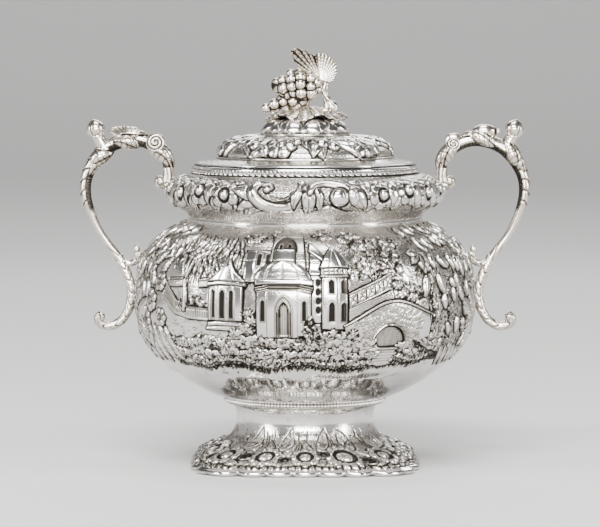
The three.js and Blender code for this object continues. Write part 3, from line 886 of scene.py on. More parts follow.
def material_named(name, **settings):
    if name not in MATERIALS:
        MATERIALS[name] = silver(name, **settings)
    return MATERIALS[name]


def sheet_silver():
    return material_named("Chased sheet silver")


def plain_silver():
    return material_named("Plain polished silver", rough=0.5, wear=0.6)


def cast_silver():
    return material_named("Cast silver", tint=(0.92, 0.872, 0.8), rough=1.7)


def inner_silver():
    return material_named("Unpolished inner silver", tint=(0.85, 0.82, 0.77), rough=3.4, wear=1.8)


def finish_piece(thing, body, material, slot_name, *nodes):
    """Gives a piece its material, the body it rides on and the CAD nodes it stands for."""
    thing.data.materials.clear()
    thing.data.materials.append(material)
    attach(thing, body)
    if nodes:
        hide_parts(*nodes)


SHEET_SLOT, CAST_SLOT = "silver_sheet", "silver_casting"


# ---- Geometry Nodes ----


def node_group(name, sockets):
    """A geometry node group with a Geometry input and output and the named inputs."""
    group = bpy.data.node_groups.new(name, "GeometryNodeTree")
    group.interface.new_socket("Geometry", in_out="INPUT", socket_type="NodeSocketGeometry")
    for label, kind in sockets:
        group.interface.new_socket(label, in_out="INPUT", socket_type=kind)
    group.interface.new_socket("Geometry", in_out="OUTPUT", socket_type="NodeSocketGeometry")
    return group


def bead_row_nodes():
    """Beads along a line: the mesh edges given become a row of ovals, turned along it."""
    name = "Row of beads"
    if name in bpy.data.node_groups:
        return bpy.data.node_groups[name]
    group = node_group(
        name,
        [("Count", "NodeSocketInt"), ("Size", "NodeSocketVector"), ("Slant", "NodeSocketFloat"),
         ("Segments", "NodeSocketInt"), ("Rings", "NodeSocketInt"), ("Material", "NodeSocketMaterial")],
    )
    given = add_node(group, "NodeGroupInput").outputs
    line = add_node(group, "GeometryNodeMeshToCurve", {"Mesh": given["Geometry"]})
    points = add_node(group, "GeometryNodeCurveToPoints",
                      {"Curve": line.outputs[0], "Count": given["Count"]})
    bead = add_node(
        group, "GeometryNodeMeshUVSphere",
        {"Segments": given["Segments"], "Rings": given["Rings"], "Radius": 0.5},
    )
    round_bead = add_node(group, "GeometryNodeSetShadeSmooth", {"Geometry": bead.outputs[0]})
    along = add_node(
        group, "FunctionNodeAlignRotationToVector", {"Vector": points.outputs["Tangent"]}, axis="X"
    )
    angles = add_node(group, "ShaderNodeCombineXYZ", {"Y": given["Slant"]})
    slant = add_node(group, "FunctionNodeEulerToRotation", {0: angles.outputs[0]})
    rotation = add_node(
        group, "FunctionNodeRotateRotation",
        {"Rotation": along.outputs[0], "Rotate By": slant.outputs[0]}, rotation_space="LOCAL",
    )
    beads = add_node(
        group, "GeometryNodeInstanceOnPoints",
        {"Points": points.outputs[0], "Instance": round_bead.outputs[0],
         "Rotation": rotation.outputs[0], "Scale": given["Size"]},
    )
    real = add_node(group, "GeometryNodeRealizeInstances", {"Geometry": beads.outputs[0]})
    coated = add_node(
        group, "GeometryNodeSetMaterial", {"Geometry": real.outputs[0], "Material": given["Material"]}
    )
    add_node(group, "NodeGroupOutput", {"Geometry": coated.outputs[0]})
    return group


def grape_nodes():
    """A grape on each vertex given, as big as its "size" attribute says."""
    name = "Grapes"
    if name in bpy.data.node_groups:
        return bpy.data.node_groups[name]
    group = node_group(
        name,
        [("Segments", "NodeSocketInt"), ("Rings", "NodeSocketInt"), ("Material", "NodeSocketMaterial")],
    )
    given = add_node(group, "NodeGroupInput").outputs
    points = add_node(group, "GeometryNodeMeshToPoints", {"Mesh": given["Geometry"]})
    grape = add_node(
        group, "GeometryNodeMeshUVSphere",
        {"Segments": given["Segments"], "Rings": given["Rings"], "Radius": 1.0},
    )
    smooth_grape = add_node(group, "GeometryNodeSetShadeSmooth", {"Geometry": grape.outputs[0]})
    size = add_node(group, "GeometryNodeInputNamedAttribute", {"Name": "size"}, data_type="FLOAT")
    grapes = add_node(
        group, "GeometryNodeInstanceOnPoints",
        {"Points": points.outputs[0], "Instance": smooth_grape.outputs[0], "Scale": size.outputs[0]},
    )
    real = add_node(group, "GeometryNodeRealizeInstances", {"Geometry": grapes.outputs[0]})
    coated = add_node(
        group, "GeometryNodeSetMaterial", {"Geometry": real.outputs[0], "Material": given["Material"]}
    )
    add_node(group, "NodeGroupOutput", {"Geometry": coated.outputs[0]})
    return group


def from_nodes(source, group, values):
    """A plain mesh object from a source object and a node group; the source is removed."""
    modifier = source.modifiers.new(group.name, "NODES")
    modifier.node_group = group
    sockets = {s.name: s.identifier for s in group.interface.items_tree if s.in_out == "INPUT"}
    for label, value in values.items():
        modifier[sockets[label]] = value
    graph = bpy.context.evaluated_depsgraph_get()
    mesh = bpy.data.meshes.new_from_object(source.evaluated_get(graph))
    name = source.name
    bpy.data.objects.remove(source, do_unlink=True)
    mesh.name = name
    made = bpy.data.objects.new(name, mesh)
    bpy.context.collection.objects.link(made)
    if not mesh.vertices:
        raise RuntimeError(f"{name}: the node group made nothing")
    return made


def line_object(name, points):
    """A closed loop of edges through points in millimetres."""
    mesh = bpy.data.meshes.new(name)
    count = len(points)
    edges = [(k, (k + 1) % count) for k in range(count)]
    mesh.from_pydata([tuple(float(c) * MM for c in p) for p in points], edges, [])
    made = bpy.data.objects.new(name, mesh)
    bpy.context.collection.objects.link(made)
    return made


def bead_row(name, points, count, size, material, slant=0.0):
    """A row of beads along points in millimetres; size is along, across and up, in millimetres."""
    source = line_object(name, points)
    made = from_nodes(
        source,
        bead_row_nodes(),
        {"Count": count, "Size": [s * MM for s in size], "Slant": slant, "Segments": 10,
         "Rings": 6, "Material": material},
    )
    set_tarnish_and_shade(made, np.zeros(len(made.data.vertices)))
    return made


def ring_points(radius, z):
    angles = ring_angles(360)
    return np.stack([radius * np.sin(angles), -radius * np.cos(angles), np.full_like(angles, z)], -1)


# ---- The stage ----


class SUGAR_BOWL_OT_stage(bpy.types.Operator):
    """Make the floor, the lights and the camera"""

    bl_idname = "sugar_bowl.stage"
    bl_label = "Stage"

    def execute(self, context):
        make_floor()
        make_lights()
        make_camera(context)
        return {"FINISHED"}


def make_floor():
    """A wide pale floor that curves up far away on every side."""
    run = smooth_run([(1, 0), (1200, 0), (2300, 0), (3400, 160), (4300, 700), (4900, 1500),
                      (5100, 2400)], 90)
    points = turn(run, ring_angles(96))
    points[0, :, :2] = 0
    floor = mesh_object("floor", points.reshape(-1, 3), grid_faces(len(run), 96, closed=True)[:, ::-1])
    material = bpy.data.materials.new("Pale floor")
    material.use_nodes = True
    shader = material.node_tree.nodes["Principled BSDF"]
    shader.inputs["Base Color"].default_value = (0.42, 0.413, 0.408, 1)
    shader.inputs["Roughness"].default_value = 0.9
    floor.data.materials.append(material)


def area_light(name, place, aim, size, power):
    light = bpy.data.lights.new(name, "AREA")
    light.shape = "RECTANGLE"
    light.size, light.size_y = size
    light.energy = power
    holder = bpy.data.objects.new(name, light)
    holder.location = place
    holder.rotation_euler = (Vector(aim) - Vector(place)).to_track_quat("-Z", "Y").to_euler()
    holder.visible_camera = False
    bpy.context.collection.objects.link(holder)
    return holder


def make_lights():
    """Soft boxes in front, above, at both sides and behind, and lamps that wash the far wall."""
    area_light("front_box", (-0.2, -1.5, 1.75), (0, 0, 0.11), (1.3, 0.5), 130)
    area_light("camera_side_box", (0.1, -2.7, 0.72), (0, 0, 0.1), (1.9, 0.6), 140)
    area_light("top_box", (0.0, 0.15, 1.9), (0, 0, 0.1), (0.8, 0.6), 26)
    area_light("left_box", (-1.9, -0.9, 0.75), (0, 0, 0.12), (0.4, 1.2), 52)
    area_light("right_box", (1.95, -0.8, 0.75), (0, 0, 0.12), (0.35, 1.2), 50)
    area_light("back_box", (0.2, 1.9, 1.3), (0, 0, 0.1), (1.6, 0.5), 30)
    for k, power in enumerate((54, 80, 40, 80)):
        angle = k * TAU / 4
        way = Vector((math.sin(angle), math.cos(angle), 0))
        area_light(f"wall_wash_{k + 1}", way * 2.3 + Vector((0, 0, 2.3)), way * 4.9 + Vector((0, 0, 0.7)),
                   (3.4, 0.6), power)
    world = bpy.data.worlds.new("Dim room")
    bpy.context.scene.world = world
    world.use_nodes = True
    world.node_tree.nodes["Background"].inputs["Color"].default_value = (0.8, 0.79, 0.78, 1)
    world.node_tree.nodes["Background"].inputs["Strength"].default_value = 0.14


def make_camera(context):
    """A long lens set just above the finial's height and tipped down a little."""
    camera = bpy.data.cameras.new("camera")
    camera.lens = 207.7
    camera.sensor_width = 36
    camera.clip_end = 20
    holder = bpy.data.objects.new("camera", camera)
    place, aim = Vector((-0.0026, -1.8, 0.227)), Vector((-0.0026, 0, 0.1048))
    holder.location = place
    holder.rotation_euler = (aim - place).to_track_quat("-Z", "Y").to_euler()
    bpy.context.collection.objects.link(holder)
    context.scene.camera = holder


# ---- Belly ----

# [radius, height] points up the outside, from the joint with the foot to the neck ring.
BELLY_POINTS = [
    (41, 35), (43.4, 35.9), (48.9, 38), (53.3, 40), (57.2, 42.1), (61.4, 44.4), (66.8, 48.2), (72.3, 52.5),
    (77, 57), (80.6, 61.5), (83.4, 66), (85.4, 71), (86.9, 77), (87.5, 84), (87.6, 89), (87.1, 96),
    (86.1, 102), (84.3, 108), (81.4, 112.8), (77.6, 117.1), (72.8, 120.9), (68.4, 123.4), (64, 125.5),
    (61.6, 127),
]
BELLY_MIDDLE = 87.0  # height of the belly's widest place, where v is 0
CHASED_LOW, CHASED_HIGH = -42.0, 52.0
SCENE_WIDE = 274.0  # distance round the belly from one scene's middle to the other's


class SUGAR_BOWL_OT_belly(bpy.types.Operator):
    """Make the belly with its chased scene, its plain underside and its inner wall"""

    bl_idname = "sugar_bowl.belly"
    bl_label = "Belly"

    def execute(self, context):
        sizes = context.scene.sugar_bowl_sizes
        run = smooth_run(BELLY_POINTS, GRID)
        v = run_distance(run, BELLY_MIDDLE)
        sheet = Chasing(TAU * BELLY_RADIUS, CHASED_LOW, CHASED_HIGH, seed=3)
        draw_ground(sheet)
        draw_front_scene(sheet)
        draw_back_scene(sheet)
        draw_side_leaves(sheet)
        sheet.settle()
        chased_run = run_between(run, v, sheet.v)
        fade = np.clip((sheet.v - CHASED_LOW) / 2.5, 0, 1) * np.clip((CHASED_HIGH - sheet.v) / 1.0, 0, 1)
        angles = sheet.u / sheet.girth * TAU
        points = turn(chased_run, angles, sheet.height * sizes.relief * fade[:, None])
        parts = chased_pieces("belly_chased", points, sheet.tarnish * fade[:, None], 4)
        for part in parts:
            finish_piece(part, "bowl", sheet_silver(), SHEET_SLOT)
        low = run[v <= CHASED_LOW + 0.5][::3]
        low = np.vstack([low[:-1], chased_run[:1]])
        under = turned_piece("belly_underside", low, AROUND)
        finish_piece(under, "bowl", plain_silver(), SHEET_SLOT, "bowl_belly")
        neck = np.vstack([chased_run[-1:], run[v > CHASED_HIGH + 0.2], [(60.6, 127.6)]])
        top = turned_piece("belly_neck", neck, AROUND)
        finish_piece(top, "bowl", plain_silver(), SHEET_SLOT)
        inside = [(0.3, 36.2), (20, 36.2), (40, 36.4)] + [
            (r - SHEET * n[0], z - SHEET * n[1])
            for (r, z), n in zip(run[6::8], run_normals(run)[6::8])
        ]
        inner = turned_piece("bowl_inside", np.array(inside + [(59.6, 129)])[::-1], AROUND_INSIDE)
        finish_piece(inner, "bowl", inner_silver(), SHEET_SLOT)
        floor = turned_piece("bowl_floor_underneath", np.array([(0.3, 35.2), (20, 35.2), (41, 35)]),
                             AROUND_INSIDE)
        finish_piece(floor, "bowl", inner_silver(), SHEET_SLOT)
        return {"FINISHED"}


def run_distance(run, level):
    """Distance along a run, 0 where it passes a height."""
    steps = np.r_[0, np.cumsum(np.linalg.norm(np.diff(run, axis=0), axis=1))]
    return steps - np.interp(level, run[:, 1], steps)


def run_between(run, v, at):
    """The run's points at the distances given."""
    return np.stack([np.interp(at, v, axis) for axis in run.T], -1)


def draw_ground(sheet):
    """Matt punched sky under the neck, soft lumpy ground below it, and loose strokes over both."""
    half = sheet.girth / 2
    random = sheet.random
    lumps = blurred(random.normal(0, 1, sheet.height.shape), 3.2 / GRID)
    rise = np.clip((30 - sheet.v[:, None]) / 20, 0, 1)
    sheet.height += 0.32 * lumps / lumps.std() * (0.35 + 0.65 * rise)
    sheet.stipple(-half, half, 30, 52.5, pitch=1.2, depth=0.16, dark=0.55, size=0.34)
    sheet.stipple(-half, half, 10, 30, pitch=1.4, depth=0.12, dark=0.42, size=0.32)
    sheet.stipple(-half, half, -34, 10, pitch=1.8, depth=0.08, dark=0.25, size=0.3)
    for low, high, count, length, angle, dark in ((33, 51, 900, 2.6, -0.5, 0.6),
                                                  (8, 33, 900, 1.8, -0.2, 0.5),
                                                  (-26, 8, 1500, 1.9, 0.05, 0.45)):
        sheet.pecks(random.uniform(-half, half, count), random.uniform(low, high, count),
                    angle + random.normal(0, 0.35, count), length * random.uniform(0.3, 1.4, count), 0.26,
                    0.14, dark * random.uniform(0.4, 1.2, count))


def draw_walls(sheet, box, lift, faces, bulge=0.5):
    """A building's walls with the upright edges between its faces."""
    u0, u1, v0, v1 = box
    sheet.polygon([(u0, v0), (u1, v0), (u1, v1), (u0, v1)], lift, bulge=bulge, line=0.8)
    for share in faces:
        u = u0 + (u1 - u0) * share
        sheet.cut([(u, v0), (u, v1)], width=0.24, depth=0.2, dark=0.3)


def draw_roof(sheet, u0, u1, v0, apex, lift, sag=0.16, tiles=0):
    """A pointed roof with hollow sides."""
    (au, av), mid = apex, (v0 + apex[1]) / 2
    left = arc([(u0, v0), (u0 + (au - u0) * (0.5 + sag), mid - sag), (au, av)], 8)
    right = arc([(au, av), (u1 + (au - u1) * (0.5 + sag), mid - sag), (u1, v0)], 8)
    sheet.polygon(np.vstack([left, right]), lift, bulge=0.4, line=0.9)
    for share in (0.32, 0.68):
        base = u0 + (u1 - u0) * share
        sheet.cut([(au, av - 0.8), (base, v0 + 0.4)], width=0.24, depth=0.2, dark=0.35)
    for k in range(tiles):
        v = v0 + (av - v0) * (k + 0.6) / (tiles + 1)
        half = (u1 - u0) / 2 * (1 - (v - v0) / (av - v0)) * 0.8
        sheet.cut([(au - half, v), (au, v - 0.35), (au + half, v)], width=0.2, depth=0.12, dark=0.3)


def draw_band(sheet, u0, u1, v, thick, lift, dip=0.0):
    """A cornice or a step, its ends dip lower to follow the faces behind them."""
    third = (u1 - u0) * 0.26
    top = [(u0, v + thick - dip), (u0 + third, v + thick), (u1 - third, v + thick), (u1, v + thick - dip)]
    bottom = [(u1, v - dip), (u1 - third, v), (u0 + third, v), (u0, v - dip)]
    sheet.polygon(top + bottom, lift, line=0.8)


def draw_kiosk(sheet, box, apex, windows, lift=1.1):
    """An eight-sided garden house with a pointed roof, tall arched windows and a plinth."""
    u0, u1, v0, v1 = box
    sheet.polygon([(u0 - 2.4, v0 - 4.8), (u1 + 3.0, v0 - 5.2), (u1 + 0.4, v0 - 1.4), (u0 - 0.3, v0 - 1.0)],
                  lift - 0.2, line=0.8)
    draw_band(sheet, u0 - 0.5, u1 + 0.6, v0 - 2.4, 2.2, lift + 0.1, dip=0.6)
    draw_walls(sheet, (u0, u1, v0, v1), lift, (0.3, 0.72))
    for u, wide in windows:
        sheet.opening(u, v0 + 1.6, wide, (v1 - v0) * 0.74, pointed=0.35)
    draw_roof(sheet, u0 - 1.2, u1 + 2.0, v1 + 1.3, apex, lift + 0.5)
    draw_band(sheet, u0 - 1.0, u1 + 1.8, v1 - 0.2, 1.7, lift + 0.7, dip=0.7)


def draw_temple(sheet, box, dome_top, door, windows, lift=1.4):
    """A domed garden temple with a pointed door, side windows, a cornice and a broad step."""
    u0, u1, v0, v1 = box
    wide = u1 - u0
    middle = u0 + wide * 0.47
    draw_band(sheet, u0 - 2.0, u1 + 3.0, v0 - 4.6, 2.6, lift - 0.3, dip=0.8)
    sheet.fringe([(u0 - 1.5, v0 - 4.8), (u1 + 1.5, v0 - 4.8)], 0.9, pitch=0.7, dark=0.7)
    draw_walls(sheet, (u0, u1, v0 - 1.6, v1), lift, (0.2, 0.76), bulge=0.8)
    for u, sill, tall in windows:
        sheet.opening(u, sill, 1.4, tall, pointed=0.3)
    door_u, door_wide, sill, tall = door
    sheet.opening(door_u, sill, door_wide + 2.8, tall + 1.6, pointed=0.9, depth=0.05, dark=0.1)
    sheet.opening(door_u, sill, door_wide, tall - 1.0, pointed=0.9, depth=0.45, dark=0.6, planks=1.15)
    for side in (-1, 1):
        u = door_u + side * (door_wide / 2 + 0.95)
        sheet.cut([(u, sill), (u, sill + tall * 0.66)], width=0.3, depth=0.25, dark=0.6)
    sheet.stipple(u0 + wide * 0.22, u1 - wide * 0.26, v1 - 3.0, v1 - 0.6, 1.0, 0.1, 0.35, 0.25)
    for k in range(3):
        draw_band(sheet, u0 - 0.5 - 0.4 * k, u1 + 0.5 + 0.4 * k, v1 - 0.6 + 1.0 * k, 0.8,
                  lift + 0.3 + 0.2 * k, 1.6)
    draw_band(sheet, u0 - 1.0, u1 + 1.0, v1 + 2.2, 2.6, lift + 0.6, dip=0.8)
    sheet.dome(middle, v1 + 4.6, wide + 1.5, dome_top - v1 - 4.6, lift + 0.9, ribs=5)
    for share in (0.3, 0.75):
        v = v1 + 4.6 + (dome_top - v1 - 4.6) * share
        half = wide * 0.42 * math.sqrt(1 - share**1.6)
        sheet.cut([(middle - half, v), (middle, v - 0.5), (middle + half, v)], width=0.22, depth=0.12,
                  dark=0.25)


def draw_turret(sheet, box, apex, rows, lift=1.2):
    """A round tower with a pointed cap over a ring of small windows."""
    u0, u1, _, v1 = box
    wide = u1 - u0
    draw_walls(sheet, box, lift, (0.6,), bulge=1.0)
    for sill, tall in rows:
        sheet.opening(u0 + wide * 0.36, sill, 2.0, tall, pointed=0.4)
        sheet.opening(u0 + wide * 0.82, sill, 1.6, tall, pointed=0.4)
    draw_roof(sheet, u0 - 1.0, u1 + 1.2, v1 + 3.4, apex, lift + 0.6, sag=-0.1)
    sheet.polygon([(u0 - 0.3, v1), (u1 + 0.4, v1), (u1 + 0.4, v1 + 3.4), (u0 - 0.3, v1 + 3.4)], lift + 0.3,
                  bulge=0.8, line=0.8)
    for k in range(5):
        u = u0 + wide * (0.06 + 0.22 * k)
        sheet.cut([(u, v1 + 0.8), (u, v1 + 2.6)], width=0.3, depth=0.3, dark=0.75)
    draw_band(sheet, u0 - 0.7, u1 + 0.8, v1 - 0.9, 1.0, lift + 0.8)


def draw_fence(sheet, low, high, pitch=1.15):
    """A railing between two lines of as many points, one at its foot and one at its top."""
    low, high = np.asarray(low, dtype=float), np.asarray(high, dtype=float)
    sheet.polygon(np.vstack([low, high[::-1]]), 0.75, line=0.6)
    count = int(np.linalg.norm(np.diff(low, axis=0), axis=1).sum() / pitch)
    foot, top = (even_run(line, np.linalg.norm(np.diff(line, axis=0), axis=1).sum() / count)
                 for line in (low, high))
    for a, b in zip(foot, top):
        sheet.cut([a + (b - a) * 0.22, a + (b - a) * 0.84], width=0.26, depth=0.3, dark=0.65)
    sheet.band(high, 0.9, 1.1, line=0.6, inner=False)


def draw_bridge(sheet, left, crown, right, arch, radius, lift=1.0):
    """A stone bridge with a round arch over rippling water."""
    (au, av), road = arch, arc([left, crown, right], 14)
    base = av - 1.0
    outline = [*road, (right[0] - 2, base), (au + radius + 6, base - 3), (au - radius - 8, base - 2),
               (left[0] + 2, base + 3)]
    sheet.polygon(outline, lift, line=0.7)
    sheet.pepper(au, av + radius, radius * 4.6, radius * 2.2, 420, 1.5, angle=0.3, dark=0.4)
    for reach, dark in ((radius + 3.0, 0.45), (radius + 6.0, 0.22)):
        a = math.pi * np.linspace(0.02, 0.98, 30)
        sheet.pecks(au + reach * np.cos(a), av + reach * np.sin(a), a, 2.2, 0.24, 0.18, dark)
    ring = [(au + (radius + 0.5) * math.cos(a), av + (radius + 0.5) * math.sin(a))
            for a in np.linspace(0.0, math.pi, 26)]
    sheet.band(ring, 1.2, lift + 0.35, line=0.4, inner=False)
    hollow = [(au + radius * math.cos(a), av + radius * math.sin(a)) for a in np.linspace(0.0, math.pi, 22)]
    sheet.polygon([*hollow, (au - radius - 1, av - 2), (au + radius - 2, av - 2)], 0.1, dark=0.3, line=0.95)
    for row in range(8):
        v = av - 1.6 + row * radius * 0.13
        half = radius * math.sqrt(max(1 - ((v - av) / radius) ** 2, 0.1)) * 0.85
        for k in range(4):
            u = au + half * (k / 2 - 0.95) + sheet.random.uniform(0, 1)
            sheet.cut([(u, v), (u + 1.6, v + 0.25), (u + 3.0, v)], width=0.2, depth=0.12, dark=0.5,
                      fade=True)
    sheet.band(road, 1.5, lift + 0.5, line=0.8, inner=False)
    inside = road - np.array([0, 1.7])
    sheet.cut(inside, width=0.26, depth=0.15, dark=0.45)


def draw_balustrade(sheet, left, right, tall, panels, lift=0.9):
    """A sloping balustrade whose panels hold crosses between paired posts."""
    left, right = np.asarray(left, dtype=float), np.asarray(right, dtype=float)
    up = np.array([0.0, tall])
    sheet.polygon([left, right, right + up, left + up], lift, line=0.6)
    for k in range(panels):
        a = left + (right - left) * (k + 0.14) / panels
        b = left + (right - left) * (k + 0.74) / panels
        foot, top = up * 0.28, up * 0.8
        sheet.cut([a + foot, b + top], width=0.26, depth=0.3, dark=0.8)
        sheet.cut([a + top, b + foot], width=0.26, depth=0.3, dark=0.8)
        for corner in (a - 0.9, b + 0.5):
            at = np.array([corner[0], np.interp(corner[0], [left[0], right[0]], [left[1], right[1]])])
            sheet.cut([at + foot * 0.6, at + top * 1.02], width=0.3, depth=0.3, dark=0.75)
    sheet.band([left + up, right + up], 1.1, lift + 0.4, line=0.6, inner=False)
    sheet.band([left + up * 0.1, right + up * 0.1], 0.9, lift + 0.3, line=0.5, inner=False)


def draw_tree(sheet, foot, crown, wide, tall, clumps, trunk=1.8):
    # The cores are coloured fully dark, as painted shade in the gaps between the grapes.
    """A tree with a forked trunk and a crown of leafy clumps."""
    (fu, fv), (cu, cv) = foot, crown
    fork = (fu + (cu - fu) * 0.55, fv + (cv - fv) * 0.55)
    sheet.foliage(cu, cv, wide, tall, clumps // 2, lift=0.7)
    for du in (-0.25, 0.05, 0.28):
        sheet.band(arc([fork, (fork[0] + du * wide * 0.7, (fork[1] + cv) / 2),
                        (cu + du * wide, cv + tall * 0.15)]),
                   trunk * 0.55, 1.2, ends=(1.0, 0.4), line=0.75, inner=False)
    sheet.band(arc([foot, (fu + 0.6, (fv + fork[1]) / 2), fork]), trunk, 1.3, ends=(1.25, 0.8), line=0.8)
    sheet.foliage(cu, cv + tall * 0.2, wide, tall * 0.7, clumps, lift=1.1)


def draw_fir(sheet, u0, low, high, half):
    """A small bushy fir, bristling with dark punch marks that point outwards."""
    tall = high - low
    for k in range(5):
        share = k / 4
        sheet.mound(u0, low + tall * (0.16 + 0.74 * share), half * (0.95 - 0.72 * share), tall * 0.2,
                    1.2 + 0.15 * k,
                    ragged=0.3, line=0.2)
    count = int(26 * half)
    random = sheet.random
    up = random.uniform(0, 1, count) ** 1.4
    side = random.uniform(-1, 1, count)
    width = half * (1.05 - 0.8 * up)
    sheet.pecks(u0 + side * width, low + tall * up, math.pi / 2 - side * 1.3 + random.normal(0, 0.25, count),
                random.uniform(0.6, 1.7, count), 0.33, 0.3, random.uniform(0.7, 1.0, count))


def draw_willow(sheet, u0, v0, wide, tall, count, lean=0.0):
    """Long thin bright leaves that hang feathery from a bough, dark between them."""
    sheet.pepper(u0, v0 - tall * 0.1, wide * 1.1, tall * 0.9, int(wide * 2.4), 3.0,
                 angle=math.radians(-90 + lean),
                 dark=0.8)
    for k in range(count * 2):
        share = (k + 0.5) / (count * 2) - 0.5
        u = u0 + share * wide
        v = v0 + tall * (0.36 - 0.85 * share**2 - 0.34 * (k % 3) / 2) + sheet.random.uniform(-1.5, 1.5)
        angle = -90 + lean + share * 46 + sheet.random.normal(0, 7)
        sheet.leaf(u, v, angle, tall * sheet.random.uniform(0.3, 0.46), 1.9, bend=0.06, lift=1.05, veins=0,
                   rib_dark=0.0, line=0.75)


def draw_vine(sheet, u0, v_low, v_high, trunk=3.0):
    """A thick climbing trunk, rough with dark gouges."""
    stem = arc([(u0, v_low), (u0 + 1.5, v_low * 0.6 + v_high * 0.4), (u0 - 2.5, v_high)], 16)
    sheet.band(stem, trunk, 1.2, ends=(1.5, 0.5), line=0.5, inner=False)
    for du, dv in stem:
        sheet.mound(du + sheet.random.uniform(-1.2, 1.2), dv, trunk * 0.5, trunk * 0.75, 1.25,
                    ragged=0.35, line=0.2)
    middle = (v_low + v_high) / 2
    sheet.pepper(u0 - 0.5, middle, trunk * 2.6, (v_high - v_low) * 1.04, int((v_high - v_low) * 3.4), 1.8,
                 angle=-1.5, dark=1.0)


def draw_hanging_leaves(sheet, box, pitch, size, fall=-90.0):
    """Pointed bright leaves scattered about a pitch apart over matt ground, with dark shadows."""
    u0, u1, v0, v1 = box
    columns, rows = max(int((u1 - u0) / pitch), 1), max(int((v1 - v0) / (pitch * 1.35)), 1)
    area = (u1 - u0) * (v1 - v0)
    random = sheet.random
    for low, high, dark in ((0.5, 1.2, 0.7), (1.0, 2.6, 0.6)):
        count = int(area * 0.5)
        sheet.pecks(random.uniform(u0, u1, count), random.uniform(v0, v1, count),
                    math.radians(fall) + random.normal(0, 0.7, count), random.uniform(low, high, count), 0.3,
                    0.2, dark * random.uniform(0.5, 1.2, count))
    for row in range(rows):
        for column in range(columns):
            u = u0 + (u1 - u0) * (column + 0.5 + 0.5 * (row % 2) + random.uniform(-0.22, 0.22)) / columns
            v = v1 - (v1 - v0) * (row + random.uniform(-0.2, 0.2)) / rows
            long = size * random.uniform(0.8, 1.2)
            angle = fall + random.normal(0, 17)
            a = math.radians(angle)
            sheet.pecks(u + np.cos(a) * long * np.array([0.25, 0.55, 0.85]) + 0.25 * long,
                        v + np.sin(a) * long * np.array([0.25, 0.55, 0.85]), a, 2.2, 0.85, 0.3, 0.85)
            sheet.leaf(u, v, angle, long, long * 0.48, bend=random.uniform(-0.06, 0.06), lift=1.5, veins=0,
                       rib_dark=0.25, line=0.6)


def draw_bank(sheet, u0, u1, low, high):
    """Smooth lumpy ground with tufts of dark strokes, and a dark ragged edge below."""
    random = sheet.random
    edge = []
    count = int((u1 - u0) / 5.0)
    for k in range(count + 1):
        u = u0 + (u1 - u0) * k / count
        edge.append((u, low + 4.2 + 2.6 * abs((u / 21) % 2 - 1) * 2 - 2.6 + random.uniform(-0.8, 0.8)))
    columns = int((u1 - u0) / 6.6)
    for row, share in ((0, 0.86), (1, 0.52), (2, 0.2)):
        for k in range(columns):
            u = u0 + (u1 - u0) * (k + 0.5 + 0.5 * (row % 2)) / columns + random.uniform(-1.6, 1.6)
            v = low + 3 + (high - low - 3) * share + random.uniform(-1.4, 1.4)
            wide = random.uniform(4.2, 6.8)
            sheet.bush(u, v, wide, wide * random.uniform(0.45, 0.7), lift=1.0 + 0.15 * row,
                       spikes=random.uniform(0.3, 1.0), top=0.06)
            if k % 4 == row:
                sheet.spray(u + 2, v - 1, -60 + random.uniform(-30, 30), 130, 5, 3.4, 1.3, lift=1.2)
    middle, area = (u0 + u1) / 2, (u1 - u0) * (high - low)
    sheet.pepper(middle, (low + high) / 2 + 2, (u1 - u0) * 1.1, high - low + 3, int(area * 0.09), 1.1,
                 clusters=int((u1 - u0) / 6))
    for rise, reach, pitch, dark in ((0.6, 2.8, 0.55, 0.95), (2.6, 2.2, 0.8, 0.85), (6.0, 1.8, 1.6, 0.7)):
        sheet.fringe([(u, v + rise) for u, v in edge], reach, pitch=pitch,
                     lean=random.uniform(-0.3, 0.3), dark=dark)


